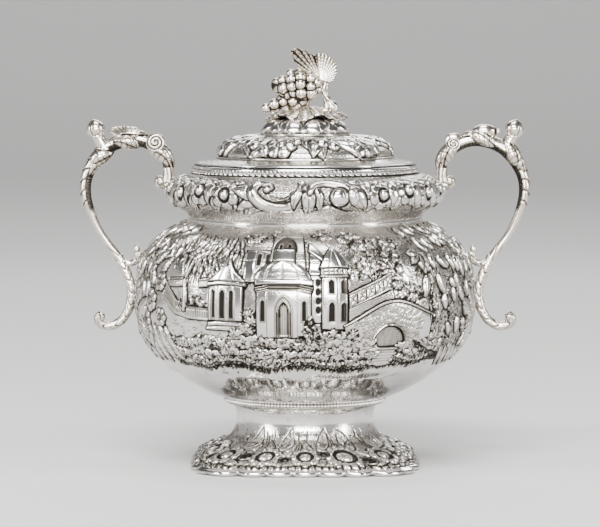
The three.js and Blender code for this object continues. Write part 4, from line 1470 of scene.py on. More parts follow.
def draw_front_scene(sheet):
    """The garden with its kiosk, domed temple, castle, turret, balustrade and bridge."""
    draw_willow(sheet, -70, 34, 34, 26, 17, lean=8)
    draw_willow(sheet, -50, 33, 30, 22, 15, lean=-14)
    draw_willow(sheet, -58, 22, 20, 16, 9, lean=4)
    for u, v, clumps in ((-31, 41, 8), (-20, 44, 8), (27, 42, 9), (10, 45, 8), (50, 36, 9)):
        sheet.foliage(u, v, 15, 10, clumps, lift=0.85, size=2.3)

    # The castle behind: a flat-roofed block with two windows and a tall arch before a small dome.
    draw_walls(sheet, (-32, -14, 14, 32), 0.8, (0.3,), bulge=0.2)
    draw_band(sheet, -33, -13, 31.4, 1.5, 1.3)
    for u in (-24.4, -19.6):
        sheet.opening(u, 22.5, 1.5, 6.2)
    arch = [(-18.5, 21)] + [(-9.8 + 8.8 * math.cos(a), 41 + 8.2 * math.sin(a))
                            for a in np.linspace(math.pi, 0, 12)]
    sheet.polygon(arch + [(0.4, 21)], 0.45, dark=0.1, line=0.9)
    sheet.stipple(-17, -2, 27, 49, 1.1, 0.12, 0.45, 0.28, where_height=0.6)
    sheet.dome(-11, 31, 12.5, 10.5, 1.2, ribs=0)
    draw_walls(sheet, (-17, -5.5, 22, 32), 1.0, (), bulge=0.4)
    for u in (-13.6, -8.6):
        sheet.opening(u, 32.2, 1.0, 3.0, dark=0.7)
    sheet.polygon([(2, 17), (9, 17), (9, 27), (2.6, 31)], 0.6, line=0.9)
    sheet.polygon([(1.6, 31), (9.5, 24.5), (9.5, 28.5), (2.5, 37)], 0.9, line=0.9)

    draw_fence(sheet, [(-58, 10.5), (-52, 11)], [(-58, 14.5), (-52, 15)])
    draw_fence(sheet, [(-82, 10), (-66, 10.6)], [(-80, 14), (-66, 15)])
    draw_fence(sheet, [(-84, 4), (-74, -3.5), (-65, -5.5), (-51, -6)],
               [(-82, 12), (-73, 3), (-65, 0.4), (-51, 0)])
    draw_tree(sheet, (-67.5, -1), (-68, 26), 14, 8, 4, trunk=2.8)
    for u, v in ((-62, 3.5), (-58.5, 4), (-70.5, 2), (-56, 2.5)):
        sheet.bush(u, v, 2.4, 1.7, lift=0.8, spikes=0.8)

    draw_kiosk(sheet, (-51, -32, -5.5, 12.5), (-40.5, 25.8), [(-48, 1.3), (-42.6, 1.9), (-37.6, 1.9)])
    for u, v, wide in ((-29, -2, 3.0), (-27.5, -6, 3.6), (-30, -10, 4.2), (-36, -13, 4.5)):
        sheet.bush(u, v, wide, wide * 0.75, lift=0.9, spikes=1.3)

    # The wall with round windows that joins the temple to the turret.
    draw_walls(sheet, (1, 9, -6, 17.5), 0.7, (), bulge=0.0)
    for v in (0.5, 5, 9.5, 14):
        sheet.blob(6.4, v, 0.9, 1.3, 0.1, dark=0.8)
    draw_turret(sheet, (8.3, 21.2, -9, 17.5), (14.6, 33.5), [(-4.6, 8.6), (9.0, 6.0)])
    draw_temple(sheet, (-24.5, 2.8, -11.5, 11), 24.5, (-10.6, 4.4, -12.2, 17.5),
                [(-21.2, -4.6, 9.6), (-0.6, -4.8, 9.6)])

    # The trees and the balustrade between the turret and the bridge.
    for u, v, wide, tall, clumps in ((30, 34, 17, 17, 12), (40, 28, 13, 22, 10), (29, 21, 12, 13, 9),
                                     (49, 24, 10, 18, 8)):
        sheet.foliage(u, v, wide, tall, clumps, lift=0.95, size=2.4)
    draw_tree(sheet, (36.5, 7), (36.5, 20), 15, 8, 8, trunk=2.1)
    for u, v in ((42, 31), (46, 26), (38, 35)):
        sheet.pepper(u, v, 7, 12, 46, 1.5, angle=-1.2)
    draw_balustrade(sheet, (22, 0.5), (46, 10.5), 7.6, 5)
    sheet.polygon([(21.8, -6), (47, 5.5), (46, 10), (22, 1)], 0.5, line=0.6)
    sheet.hatch([(23, -4.5), (46, 6), (44, 9.5), (23, 0.5)], 20, 1.0, depth=0.15, dark=0.5)
    draw_bridge(sheet, (19.5, -7.6), (46, 4.2), (72, -3.5), (44.6, -17.2), 9.0)
    for u, v, wide in ((50, 12, 4.4), (57, 10.4, 4.8), (64, 8.6, 4.6), (53, 7.4, 3.4), (60, 5.8, 3.6),
                       (68, 4.6, 3.4)):
        sheet.bush(u, v, wide, 2.2, lift=0.7, spikes=0.9)
    draw_fir(sheet, 2.4, -19, -4.5, 6.8)
    for u, v, wide in ((14.2, -12, 2.6), (18.6, -14, 2.8), (10, -14, 3), (24.5, -12.5, 2.4)):
        sheet.bush(u, v, wide, wide * 1.35, lift=1.4)
    draw_bank(sheet, -82, 34, -36, -15)
    draw_bank(sheet, 50, 88, -33, -17)
    for row in range(6):
        v = -19.5 - 1.7 * row
        sheet.cut(arc([(30 + row, v - 0.6), (41, v + 0.4), (60 - row, v - 0.2)]), 0.26, 0.15, 0.5, fade=True)
    sheet.fringe([(34, -29), (42, -32), (52, -30)], 1.8, pitch=0.7)

    draw_hanging_leaves(sheet, (62, 124, 4, 51), 8.6, 10.5, fall=-74)
    draw_vine(sheet, 73.5, -14, 22)
    draw_vine(sheet, 87, -16, 6, trunk=2.4)
    draw_hanging_leaves(sheet, (78, 118, -20, 8), 7.6, 9.0, fall=-82)
    for angle in (-35, -85, -135, -185):
        sheet.leaf(66.5, 28, angle, 9.5 - 0.02 * abs(angle + 85), 5.4, lift=1.7, veins=4, line=0.9)
    sheet.fringe([(60, -16), (72, -22), (90, -26), (112, -24)], 3.2, pitch=0.6)
    for k in range(7):
        sheet.leaf(84 + 5.2 * k, -20 - 1.2 * (k % 2), -70 + 2 * k, 15, 4.4, bend=0.06, lift=1.2, veins=3)

    # The big leaves and flowers at the left edge of the scene.
    draw_hanging_leaves(sheet, (-124, -80, 22, 51), 8.4, 10.5, fall=-104)
    for k in range(7):
        sheet.leaf(-84 - 5.5 * k, -10 + 1.2 * (k % 2), -66 - 6 * k, 23, 6.4, bend=-0.07, lift=1.6,
                   veins=3, teeth=9,
                   rib_dark=0.8)
    for k in range(8):
        sheet.leaf(-84 - 4.6 * k, 20 - 5 * (k % 3), 100 + 12 * (k % 3) - 60 * (k % 2), 13, 6.2,
                   bend=0.08, lift=1.6,
                   veins=2, teeth=7)
    for u, v, size in ((-88, 12, 5.2), (-97, 2, 6.2), (-87, -6, 5.0), (-101, 20, 5.6), (-110, 8, 6.4),
                       (-104, -8, 5.4)):
        sheet.flower(u, v, size, petals=6, turned=u, rings=2)


def draw_back_scene(sheet):
    """Another garden across the back: a church with a tower, a kiosk, a fence, trees and a bridge."""
    middle = SCENE_WIDE
    draw_willow(sheet, middle - 66, 32, 30, 24, 15, lean=6)
    draw_willow(sheet, middle + 62, 34, 34, 24, 16, lean=-6)
    for du, v, clumps in ((-40, 36, 22), (-20, 40, 16), (22, 38, 22), (40, 36, 20), (2, 42, 12)):
        sheet.foliage(middle + du, v, 17, 11, clumps, lift=0.85, size=2.3)
    draw_walls(sheet, (middle - 26, middle - 2, -6, 20), 0.8, (0.5,), bulge=0.2)
    draw_roof(sheet, middle - 28, middle, 19.5, (middle - 14, 32), 1.1, tiles=5)
    for du in (-21.5, -14, -6.5):
        sheet.opening(middle + du, 2, 2.2, 11, pointed=0.5)
    draw_turret(sheet, (middle - 1, middle + 11, -9, 27), (middle + 5, 47), [(-4, 9), (9, 6), (19, 5)])
    draw_kiosk(sheet, (middle + 27, middle + 45, -4, 13), (middle + 36, 27),
               [(middle + 30.5, 1.4), (middle + 36, 1.9), (middle + 41.5, 1.6)])
    draw_fence(sheet, [(middle + 47, -5), (middle + 64, 1), (middle + 78, 8)],
               [(middle + 47, 1), (middle + 64, 7), (middle + 78, 14)])
    draw_tree(sheet, (middle - 40, -6), (middle - 41, 24), 22, 18, 24, trunk=2.4)
    draw_tree(sheet, (middle + 18.5, -7), (middle + 19, 22), 15, 16, 18, trunk=2.0)
    draw_bridge(sheet, (middle - 84, -6), (middle - 60, 5), (middle - 36, -6), (middle - 60, -15.5), 8.4)
    for du, v in ((-30, -9), (-23, -11), (-16, -10), (-8, -11), (14, -11), (22, -10), (30, -11)):
        sheet.bush(middle + du, v, 3.6, 2.9, lift=1.3)
    draw_fir(sheet, middle + 12.5, -17, -1, 5.6)
    draw_bank(sheet, middle - 88, middle + 88, -36, -14)
    for side in (-1, 1):
        near, far = middle + side * 66, middle + side * 112
        draw_hanging_leaves(sheet, (min(near, far), max(near, far), 0, 51), 8.6, 10.5, fall=-90 - side * 12)
        draw_vine(sheet, middle + side * 71, -14, 30)
        for k in range(6):
            sheet.bush(middle + side * (50 + 4 * k), -4 + 7 * (k % 3), 4.4, 2.6, lift=0.8)


def draw_side_leaves(sheet):
    """Flowers and tall curling leaves under both handles."""
    for side in (-1, 1):
        centre = side * SCENE_WIDE / 2
        draw_hanging_leaves(sheet, (centre - 36, centre + 36, -24, 24), 8.4, 9.5)
        for k in range(8):
            fan = k / 7 - 0.5
            sheet.leaf(centre + 30 * fan, -12, 90 - 110 * fan, 34 - 16 * abs(fan), 8.5, bend=0.1 * fan,
                       veins=8,
                       lift=1.3, teeth=7)
            sheet.leaf(centre + 34 * fan, -8, -90 + 90 * fan, 25 - 8 * abs(fan), 7, bend=-0.08 * fan,
                       veins=7,
                       lift=1.2, teeth=6)
        for du, v, size in ((0, -4, 8.6), (-15, 6, 6.0), (15, 6, 6.0), (-9, -17, 5.0), (9, -17, 5.0),
                            (0, 15, 5.6)):
            sheet.flower(centre + du, v, size, petals=7 if size > 8 else 6, turned=0.4 * du, rings=2)
        draw_hanging_leaves(sheet, (centre - 34, centre + 34, 22, 51), 8.6, 10.5)


# ---- Collar and rim ----

COLLAR_POINTS = [
    (60.4, 128.6), (60.7, 129.8), (62.1, 131.6), (64.7, 133.6), (67.6, 135.7), (69.7, 137.9), (70.9, 141),
    (70.9, 144), (69.6, 146.4), (67.3, 148.2), (63.4, 150.3), (59.8, 152.2), (58.4, 152.9),
]
COLLAR_MIDDLE = 144.2


class SUGAR_BOWL_OT_collar(bpy.types.Operator):
    """Make the chased collar, the neck ring, the rim with its rope edge and the mouth"""

    bl_idname = "sugar_bowl.collar"
    bl_label = "Collar and rim"

    def execute(self, context):
        run = smooth_run(COLLAR_POINTS, GRID)
        v = run_distance(run, COLLAR_MIDDLE)
        sheet = Chasing(TAU * COLLAR_RADIUS, v[0], v[-1], seed=11, ink=0.8)
        draw_collar(sheet)
        sheet.settle(amount=1.2, wobble=0.04)
        fade = np.clip((sheet.v - v[0]) / 0.8, 0, 1) * np.clip((v[-1] - sheet.v) / 0.8, 0, 1)
        points = turn(run_between(run, v, sheet.v), sheet.u / sheet.girth * TAU,
                      sheet.height * fade[:, None])
        parts = chased_pieces("collar_chased", points, sheet.tarnish, 2)
        for part in parts:
            finish_piece(part, "bowl", sheet_silver(), SHEET_SLOT)
        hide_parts("bowl_collar")
        ring = turned_piece("neck_ring", ring_run(60.2, 128.1, 1.15, 1.0), AROUND)
        finish_piece(ring, "bowl", plain_silver(), SHEET_SLOT)
        self.make_rim(context)
        wall = [(r - SHEET * n[0], z - SHEET * n[1]) for (r, z), n in zip(run[::6], run_normals(run)[::6])]
        mouth = [(59.6, 129), *wall[1:-1], (55.6, 152.4), (54.7, 153.2), (54.7, 156.0)]
        inner = turned_piece("collar_inside", np.array(mouth)[::-1], AROUND_INSIDE)
        finish_piece(inner, "bowl", inner_silver(), SHEET_SLOT)
        return {"FINISHED"}

    def make_rim(self, context):
        notches = context.scene.sugar_bowl_cover_sizes.notches
        section = [(57.2, 152.6), (58.5, 152.9), (58.9, 153.9), (58.9, 155.2), (58.6, 156.0), (58.0, 156.3),
                   (56.8, 156.35), (56.7, 156.3), (54.9, 156.3), (54.6, 156.0), (54.6, 155.0)]
        band = turned_piece("rim_band", sharp_run(section, 0.2), AROUND)
        finish_piece(band, "bowl", plain_silver(), SHEET_SLOT, "rim_wire")
        # Painted shadows: the seat under the cover's edge and the groove under the frill are coloured fully
        # dark; with the cover off the seat shows as a black ring.
        seat_shadow = turned_piece("rim_seat", np.array([(58.0, 156.32), (57.3, 156.42), (55.0, 156.42)]), AROUND)
        set_tarnish_and_shade_value(seat_shadow, 1.0)
        finish_piece(seat_shadow, "bowl", sheet_silver(), SHEET_SLOT)
        shade = turned_piece("rim_shadow_groove", ring_run(57.9, 152.7, 0.75, 0.7), AROUND)
        set_tarnish_and_shade_value(shade, 1.0)
        finish_piece(shade, "bowl", sheet_silver(), SHEET_SLOT)
        rope_bed = turned_piece("rim_rope_bed", ring_run(58.35, 154.7, 0.75, 0.75), AROUND)
        set_tarnish_and_shade_value(rope_bed, 0.6)
        finish_piece(rope_bed, "bowl", sheet_silver(), SHEET_SLOT)
        rope = bead_row("rim_rope", ring_points(58.75, 154.75), notches, (2.1, 0.85, 0.95), sheet_silver(),
                        slant=0.6)
        finish_piece(rope, "bowl", sheet_silver(), SHEET_SLOT)
        frill = bead_row("rim_frill", ring_points(58.5, 152.95), notches * 5 // 8, (3.1, 1.5, 1.15),
                         sheet_silver(),
                         slant=0.25)
        finish_piece(frill, "bowl", sheet_silver(), SHEET_SLOT)


def ring_run(radius, z, half_width, half_height):
    """The outside half of a round wire's section."""
    angles = np.linspace(-1.75, 1.75, 15)
    return np.stack([radius + half_width * np.cos(angles), z + half_height * np.sin(angles)], -1)


def sharp_run(points, edge):
    """The same run with two points close to each corner, so the corner stays crisp."""
    points = np.asarray(points, dtype=float)
    out = [points[0]]
    for before, here, after in zip(points, points[1:], points[2:]):
        for other in (before, after):
            gap = other - here
            long = np.linalg.norm(gap)
            out.append(here + gap * min(edge / max(long, 1e-6), 0.45))
    out.append(points[-1])
    return np.array(out)


def draw_cartouche(sheet, u0):
    """Two facing scrolls, one open and one with a full volute, with a leaf falling between them."""

    def at(points):
        return arc([(u0 + u, v) for u, v in points])

    sheet.stipple(u0 - 19, u0 - 6, 0.4, 8.6, 1.35, 0.32, 0.85, 0.36)
    sheet.stipple(u0 + 5.5, u0 + 14, -7.0, 1.5, 1.35, 0.32, 0.85, 0.36)
    sheet.leaf(u0 - 22, -6.5, 196, 17, 9.0, bend=-0.1, lift=1.4, veins=3)
    sheet.leaf(u0 - 26, -3.0, 160, 14, 7.5, bend=-0.15, lift=1.55, veins=3)
    sheet.leaf(u0 - 30, -7.5, 232, 8, 4.5, bend=0.1, lift=1.2, veins=0)
    sheet.band(at([(-19.6, 2.0), (-18.2, 4.0), (-20.6, 6.2), (-25, 6.6), (-27.5, 1.2), (-23.5, -4.6),
                   (-15.5, -7.9),
                   (-7.5, -7.4), (-3.2, -3.4), (-1.6, 2.2), (0.2, 6.8)]), 9.5, 1.8, ends=(0.5, 0.8),
               line=1.0)
    sheet.band(at([(-17.5, -1.6), (-13, -3.0), (-8.5, -1.8), (-6, 1.4)]), 2.2, 1.1, ends=(0.4, 0.4),
               line=0.7)
    sheet.blob(u0 - 19.8, 2.4, 1.9, 1.7, 1.7, line=0.9)
    sheet.band(at([(7, -8.4), (12, -6.6), (17, -8.6), (22, -10.2)]), 2.4, 1.1, ends=(0.8, 0.2), line=0.9)
    sheet.leaf(u0 + 0.4, 6.0, -66, 17, 6.4, bend=0.14, lift=1.6, veins=0, line=0.9)
    sheet.leaf(u0 - 0.4, 5.5, -88, 18.5, 7.4, bend=0.1, lift=1.8, veins=2, rib_dark=0.8, line=0.9)
    sheet.leaf(u0 - 1.6, 2.5, -112, 11.5, 5.0, bend=-0.12, lift=1.7, veins=0, line=0.9)
    sheet.blob(u0 - 0.6, 1.2, 0.9, 0.6, 0.9, dark=0.9)
    sheet.band(at([(2.4, 0.6), (4.2, 4.6), (9.5, 7.4), (15.8, 6.8), (21.4, 3.4), (23.0, -1.4),
                   (20.4, -5.2)]),
               7.6, 1.8, ends=(0.55, 1.1), line=1.0)
    sheet.blob(u0 + 17.6, -1.6, 5.0, 4.9, 2.1, line=1.0)
    sheet.cut(arc([(u0 + 13.8, -0.4), (u0 + 15.8, 1.8), (u0 + 19.0, 1.5), (u0 + 19.8, -0.8)]), 0.45,
              0.4, 0.95)
    sheet.blob(u0 - 1.5, 8.2, 2.2, 1.4, 1.3, line=0.8)
    for u in (-23.5, -13.5, 3.5, 25):
        sheet.band(at([(u - 1.6, -10.2), (u, -11.4), (u + 1.6, -10.0)]), 1.2, 0.8, line=0.7, inner=False)


def draw_garland(sheet, u_from, u_to):
    """Leaves and open flowers that overlap along the collar."""
    count = max(int(round(abs(u_to - u_from) / 17.0)), 1)
    pitch = (u_to - u_from) / count
    lean = 1 if pitch > 0 else -1
    for k in range(count):
        u = u_from + pitch * (k + 0.5)
        sheet.leaf(u - 7.4 * lean, 8.6, -90 + 42 * lean, 12, 6.5, bend=0.1 * lean, lift=1.2, veins=2)
        sheet.leaf(u - 1.0 * lean, 9.4, -90 + 70 * lean, 9, 4.6, bend=-0.1 * lean, lift=1.1, veins=0)
        sheet.leaf(u - 9.6 * lean, 5.6, -90 + 8 * lean, 16.5, 9.4, bend=0.08 * lean, lift=1.7, veins=3,
                   rib_dark=0.9)
        sheet.leaf(u - 3.0 * lean, -1, -90 - 16 * lean, 10.5, 6.4, bend=-0.1 * lean, lift=1.2, veins=3)
        sheet.leaf(u + 2.6 * lean, 8.8, 90 - 100 * lean, 8.5, 4.6, lift=1.2, veins=3)
        sheet.flower(u + 1.5 * lean, -1.2 + 1.8 * (k % 2), 8.2, petals=6, lift=1.5, turned=0.7 * k + 0.3,
                     heart=0.44, rings=1, squash=0.95)
        sheet.blob(u + 1.5 * lean, -0.9 + 1.8 * (k % 2), 3.4, 3.5, 1.6, dark=0.3, line=0.9)
        sheet.blob(u + 1.5 * lean, -0.9 + 1.8 * (k % 2), 2.5, 2.6, 2.5, line=0.7)
        sheet.blob(u + 7.4 * lean, -6.8, 1.3, 1.1, 1.2)


def draw_collar(sheet):
    """Scroll cartouches at the front and the back, garlands between them, matt ground all over."""
    half = sheet.girth / 2
    low, high = sheet.v[0], sheet.v[-1]
    sheet.stipple(-half, half, low + 0.6, -10.5, 1.05, 0.3, 0.75, 0.36)
    sheet.stipple(-half, half, -10.5, high - 1.0, 1.1, 0.22, 0.85, 0.38)
    # Painted shadow: a broad dark line along the collar's top, under the rim's frill.
    sheet.cut([(-half, high - 1.0), (half, high - 1.0)], 1.1, 0.2, 0.95)
    for u0 in (0.0, half):
        draw_garland(sheet, u0 + 31.5, u0 + half - 36)
    for u0 in (0.0, half):
        draw_cartouche(sheet, u0)
        sheet.leaf(u0 + 24.4, 5.0, -58, 15.5, 9.4, bend=-0.1, lift=1.6, veins=3)
        sheet.leaf(u0 + 24, 8.6, -12, 9, 4.4, bend=0.1, lift=1.3, veins=3)


# ---- Cover ----

COVER_POINTS = [
    (56.3, 156.6), (57.0, 156.9), (56.9, 157.5), (55.6, 157.8), (51.2, 158.7), (46.9, 160.1), (45.4, 161.2),
    (44.9, 162.8), (43.8, 164.4), (41.6, 166.2), (38.6, 167.9), (35, 169.2), (30, 170.1), (26, 170.8),
    (23.9, 171.7), (22.6, 173.3), (21.0, 175.0), (18.6, 176.7), (15, 178.2), (9, 179.7), (3, 180.6),
    (0.3, 180.6),
]
COVER_GIRTH = 276.0
COVER_STEP = 161.2  # height where the brim meets the dome, where v is 0


class SUGAR_BOWL_OT_cover(bpy.types.Operator):
    """Make the cover with its ruled brim, leafy dome and cap, its inside and its bezel"""

    bl_idname = "sugar_bowl.cover"
    bl_label = "Cover"

    def execute(self, context):
        run = smooth_run(COVER_POINTS, GRID)
        v = run_distance(run, COVER_STEP)
        sheet = Chasing(COVER_GIRTH, v[0], v[-1], seed=23, ink=0.75)
        draw_cover(sheet)
        sheet.settle(amount=1.1, wobble=0.05)
        crown = np.clip((44 - sheet.v) / 4.0, 0, 1)[:, None]
        points = turn(run_between(run, v, sheet.v), sheet.u / sheet.girth * TAU, sheet.height * crown)
        points[-1, :, :2] = 0
        parts = chased_pieces("cover_chased", points, sheet.tarnish * crown, 2)
        for part in parts:
            finish_piece(part, "cover", sheet_silver(), SHEET_SLOT)
        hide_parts("cover_dome")
        inner = [(r - SHEET * n[0], z - SHEET * n[1])
                 for (r, z), n in zip(run[14::5], run_normals(run)[14::5])]
        inner = [p for p in inner if p[0] > 1.0 and p[0] < 53.2] + [(0.01, 180.2)]
        inside = turned_piece("cover_inside", np.array([(53.4, 157.2), *inner])[::-1], AROUND_INSIDE)
        finish_piece(inside, "cover", inner_silver(), SHEET_SLOT)
        loop = [(53.0, 157.3), (53.0, 148.4), (53.25, 148.2), (53.75, 148.2), (54.0, 148.5),
                (54.0, 156.5), (56.4, 156.5)]
        bezel = turned_piece("cover_bezel_ring", sharp_run(loop, 0.12), AROUND_WIRE)
        finish_piece(bezel, "cover", plain_silver(), SHEET_SLOT, "cover_bezel")
        return {"FINISHED"}


def draw_cover(sheet):
    """Fine ruling on the brim, two rows of swelling leaves and flowers, and a leafy cap."""
    half = sheet.girth / 2
    sheet.stipple(-half, half, -10.5, -4.5, 0.95, 0.1, 0.5, 0.3)
    u = -half + sheet.girth * np.arange(300) / 300
    sheet.pecks(u, -9.6 + 0 * u, 1.45, 1.7, 0.26, 0.16, 0.85)
    sheet.pecks(u + 0.4, -7.0 + 0 * u, 1.6, 3.0, 0.2, 0.08, sheet.random.uniform(0.15, 0.6, 300))
    sheet.cut([(-half, -11.3), (half, -11.3)], width=0.3, depth=0.2, dark=0.6)
    sheet.band([(-half, -0.9), (half, -0.9)], 1.3, 0.4, line=0.5, inner=False)
    sheet.stipple(-half, half, 0.4, 27, 1.2, 0.2, 0.6, 0.34)
    rows = 14
    for k in range(rows):
        u = -half + sheet.girth * (k + 0.5) / rows
        tilt = 26 if k % 2 else -30
        sheet.leaf(u + 8, 24.0, -90 + tilt * 0.8, 16, 13.5, bend=0.1, lift=1.9, veins=3, fat=0.66)
    for k in range(rows):
        u = -half + sheet.girth * k / rows
        tilt = sheet.random.uniform(14, 40) * (1 if k % 3 else -1)
        sheet.leaf(u - 8, 14.0, -90 - tilt, 16.0, 10.5, bend=-0.14, lift=2.0, veins=2, fat=0.7)
        sheet.leaf(u, 15.5, -90 + tilt, 19.0, 13.0, bend=0.14, lift=2.5, veins=3, fat=0.64, rib_dark=0.8)
    for k in range(6):
        u = -half + sheet.girth * (k + 0.72) / 6
        sheet.flower(u, 7.5, 8.2, petals=6, lift=2.5, turned=k, heart=0.34, rings=2)
        sheet.blob(u + 23, 11, 4.6, 4.2, 2.6)
        sheet.blob(u + 29, 8, 3.4, 3.6, 2.3)
    sheet.band([(-half, 26.3), (half, 26.3)], 1.2, 0.3, line=0.7, inner=False)
    for k in range(8):
        u = -half + sheet.girth * (k + 0.95) / 8
        sheet.leaf(u, 27.0, 90, 15, 26, bend=-0.03, lift=1.8, veins=0, fat=0.75, rib_dark=0.2, line=0.6)
    for k in range(8):
        u = -half + sheet.girth * (k + 0.45) / 8
        sheet.leaf(u, 26.8, 82 if k % 2 else 98, 16, 33, bend=0.04, lift=2.4, veins=0, fat=0.75, line=0.7)
    # Painted shade, with tarnish left unrubbed: the cap is darkened beneath the finial's leaf plate.
    shade_and_tarnish_under_leaf = 0.85 * smooth_step(33.5, 38, sheet.v)[:, None]
    sheet.tarnish = np.maximum(sheet.tarnish, shade_and_tarnish_under_leaf)


# ---- Foot ----

FOOT_POINTS = [
    (57.4, 3.2), (57.0, 4.4), (55.2, 6.0), (52.0, 7.9), (48.4, 9.8), (45, 11.8), (42, 13.5), (40, 14.8),
    (38.3, 16.6),
    (37.1, 18.8), (36.2, 21.6), (35.8, 25), (36.1, 28.2), (37.1, 31.0), (38.6, 32.8), (40.2, 33.8),
]
FOOT_MIDDLE = 50  # radius on which distances round the foot are measured
FOOT_GIRTH = TAU * FOOT_MIDDLE
FOOT_HALF, FOOT_INNER, SQUARENESS = 57.6, 40.0, 3.6
LOBES, LOBE_DEPTH, TAB_REACH, TAB_HALF_ANGLE = 28, 1.1, 1.8, 0.16
PIERCINGS, PIERCING_RADIUS, PIERCING_SIDES = 16, 1.8, 28
EDGE_CUTS = 104


class SUGAR_BOWL_OT_foot(bpy.types.Operator):
    """Make the square foot with its piercings, scalloped edge, spool and beaded joint"""

    bl_idname = "sugar_bowl.foot"
    bl_label = "Foot"

    def execute(self, context):
        run = smooth_run(FOOT_POINTS, GRID)
        v = run_distance(run, run[0, 1])
        sheet = Chasing(FOOT_GIRTH, 0.0, v[-1], seed=31, ink=1.0)
        centres = piercing_centres()
        draw_foot(sheet, run, v, centres)
        sheet.settle(amount=1.1, wobble=0.04)
        fade = np.clip(sheet.v / 0.8, 0, 1) * np.clip((v[-1] - sheet.v) / 1.2, 0, 1)
        angles = sheet.u / sheet.girth * TAU
        points = turn(run_between(run, v, sheet.v), angles, sheet.height * fade[:, None], square_off)
        keep = pierce(points, centres, 0.34)
        parts = chased_pieces("foot_chased", points, sheet.tarnish, 2, keep)
        for part in parts:
            finish_piece(part, "bowl", sheet_silver(), SHEET_SLOT)
        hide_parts("foot_spool", "foot_flange")
        self.make_underside(centres)
        self.make_edge()
        beads = context.scene.sugar_bowl_sizes.beads
        size = context.scene.sugar_bowl_sizes.bead_size / MM
        joint = bead_row("joint_beads", ring_points(41.4, 34.35), beads,
                         (size, size * 1.25, size * 1.25), cast_silver())
        finish_piece(joint, "bowl", sheet_silver(), SHEET_SLOT, "joint_bead_wire")
        for label, radius, z, tarnish_and_shade_amount in (("joint_wire_above", 41.2, 35.5, 0.35),
                                        ("joint_bed", 40.5, 34.4, 1.0),
                                        ("joint_wire_below", 40.2, 33.1, 0.25)):
            wire = turned_piece(label, ring_run(radius, z, 0.7, 0.55), AROUND_WIRE)
            set_tarnish_and_shade_value(wire, tarnish_and_shade_amount)
            finish_piece(wire, "bowl", sheet_silver(), SHEET_SLOT)
        return {"FINISHED"}

    def make_underside(self, centres):
        """The inside of the foot, seen from below, and the walls of the piercings."""
        run = smooth_run([(r, z) for r, z in FOOT_POINTS if r < 57.3], 0.9)
        normals = run_normals(run)
        inner = run - normals * SHEET
        inner = np.vstack([[(54.3, 0.2), (54.5, 2.0)], inner[1:]])[::-1]
        angles = ring_angles(420)
        points = turn(inner, angles, 0.0, square_off)
        keep = pierce(points, centres, 0.7)
        below = chased_pieces("foot_underneath", points, np.full(points.shape[:2], 0.25), 1, keep)[0]
        finish_piece(below, "bowl", inner_silver(), SHEET_SLOT)
        outside = smooth_run(FOOT_POINTS, GRID)
        rings, faces, start = [], [], 0
        for x, y, _ in centres:
            around = np.arange(PIERCING_SIDES) * TAU / PIERCING_SIDES
            px, py = x + PIERCING_RADIUS * np.cos(around), y + PIERCING_RADIUS * np.sin(around)
            top = surface_height(outside, px, py)
            for z in (top + 0.1, top - 0.5, top - 1.5):
                rings.append(np.stack([px, py, z], -1))
            faces.append(grid_faces(3, PIERCING_SIDES, closed=True) + start)
            start += 3 * PIERCING_SIDES
        walls = mesh_object("piercing_walls", np.vstack(rings), np.vstack(faces))
        # The hole walls are coloured fully dark, as painted shade inside the holes.
        set_tarnish_and_shade(walls, np.full(start, 1.0))
        finish_piece(walls, "bowl", sheet_silver(), SHEET_SLOT)

    def make_edge(self):
        """The moulded edge: smooth round scallops with tabs at the corners."""
        section = [(53.9, 2.4), (54.0, 0.4), (54.5, 0.0), (57.4, 0.0), (58.5, 0.5), (58.9, 1.5), (58.5, 2.5),
                   (57.7, 3.1), (57.2, 3.7), (56.3, 4.1)]
        run = smooth_run(section, 0.45)
        angles = ring_angles(900)
        points = turn(run, angles, 0.0, square_off)
        cusp = (1 - np.abs(np.cos(LOBES / 2 * angles))) ** 1.6
        points[..., 2] += 0.7 * cusp * np.clip(1 - points[..., 2] / 4.1, 0, 1)
        tarnish_and_shade_amount = np.clip(0.3 * cusp**2, 0.03, 1) + np.zeros(points.shape[:2])
        edge = chased_pieces("foot_edge", points, tarnish_and_shade_amount, 1)[0]
        finish_piece(edge, "bowl", plain_silver(), SHEET_SLOT, "foot_edge_wire")


def foot_outline(angle):
    """Distance from the axis to the foot's edge: a soft square with a scalloped edge and corner tabs."""
    c, s = np.abs(np.cos(angle)), np.abs(np.sin(angle))
    plain = FOOT_HALF / (c**SQUARENESS + s**SQUARENESS) ** (1 / SQUARENESS)
    off = np.abs((angle % (TAU / 4)) - TAU / 8)
    t = np.clip((off - 0.7 * TAB_HALF_ANGLE) / (0.6 * TAB_HALF_ANGLE), 0, 1)
    tab = 1 - t * t * (3 - 2 * t)
    beside = np.exp(-(((off - 1.5 * TAB_HALF_ANGLE) / 0.06) ** 2))
    scallop = 2 * np.abs(np.cos(LOBES / 2 * angle)) ** 0.7 - 1.2
    return plain + LOBE_DEPTH * scallop * (1 - tab) + TAB_REACH * (tab - 0.7 * beside)


def square_off(radius, angle):
    """Draws radii past the round spool out to the foot's square outline."""
    share = (foot_outline(angle) - FOOT_INNER) / (FOOT_HALF - FOOT_INNER)
    return np.where(radius > FOOT_INNER, FOOT_INNER + (radius - FOOT_INNER) * share, radius)


def surface_height(run, x, y):
    """Height of the foot's top at places beyond the spool."""
    angle = np.arctan2(x, -y)
    share = (foot_outline(angle) - FOOT_INNER) / (FOOT_HALF - FOOT_INNER)
    radius = FOOT_INNER + (np.hypot(x, y) - FOOT_INNER) / share
    return np.interp(-radius, -run[:, 0], run[:, 1])


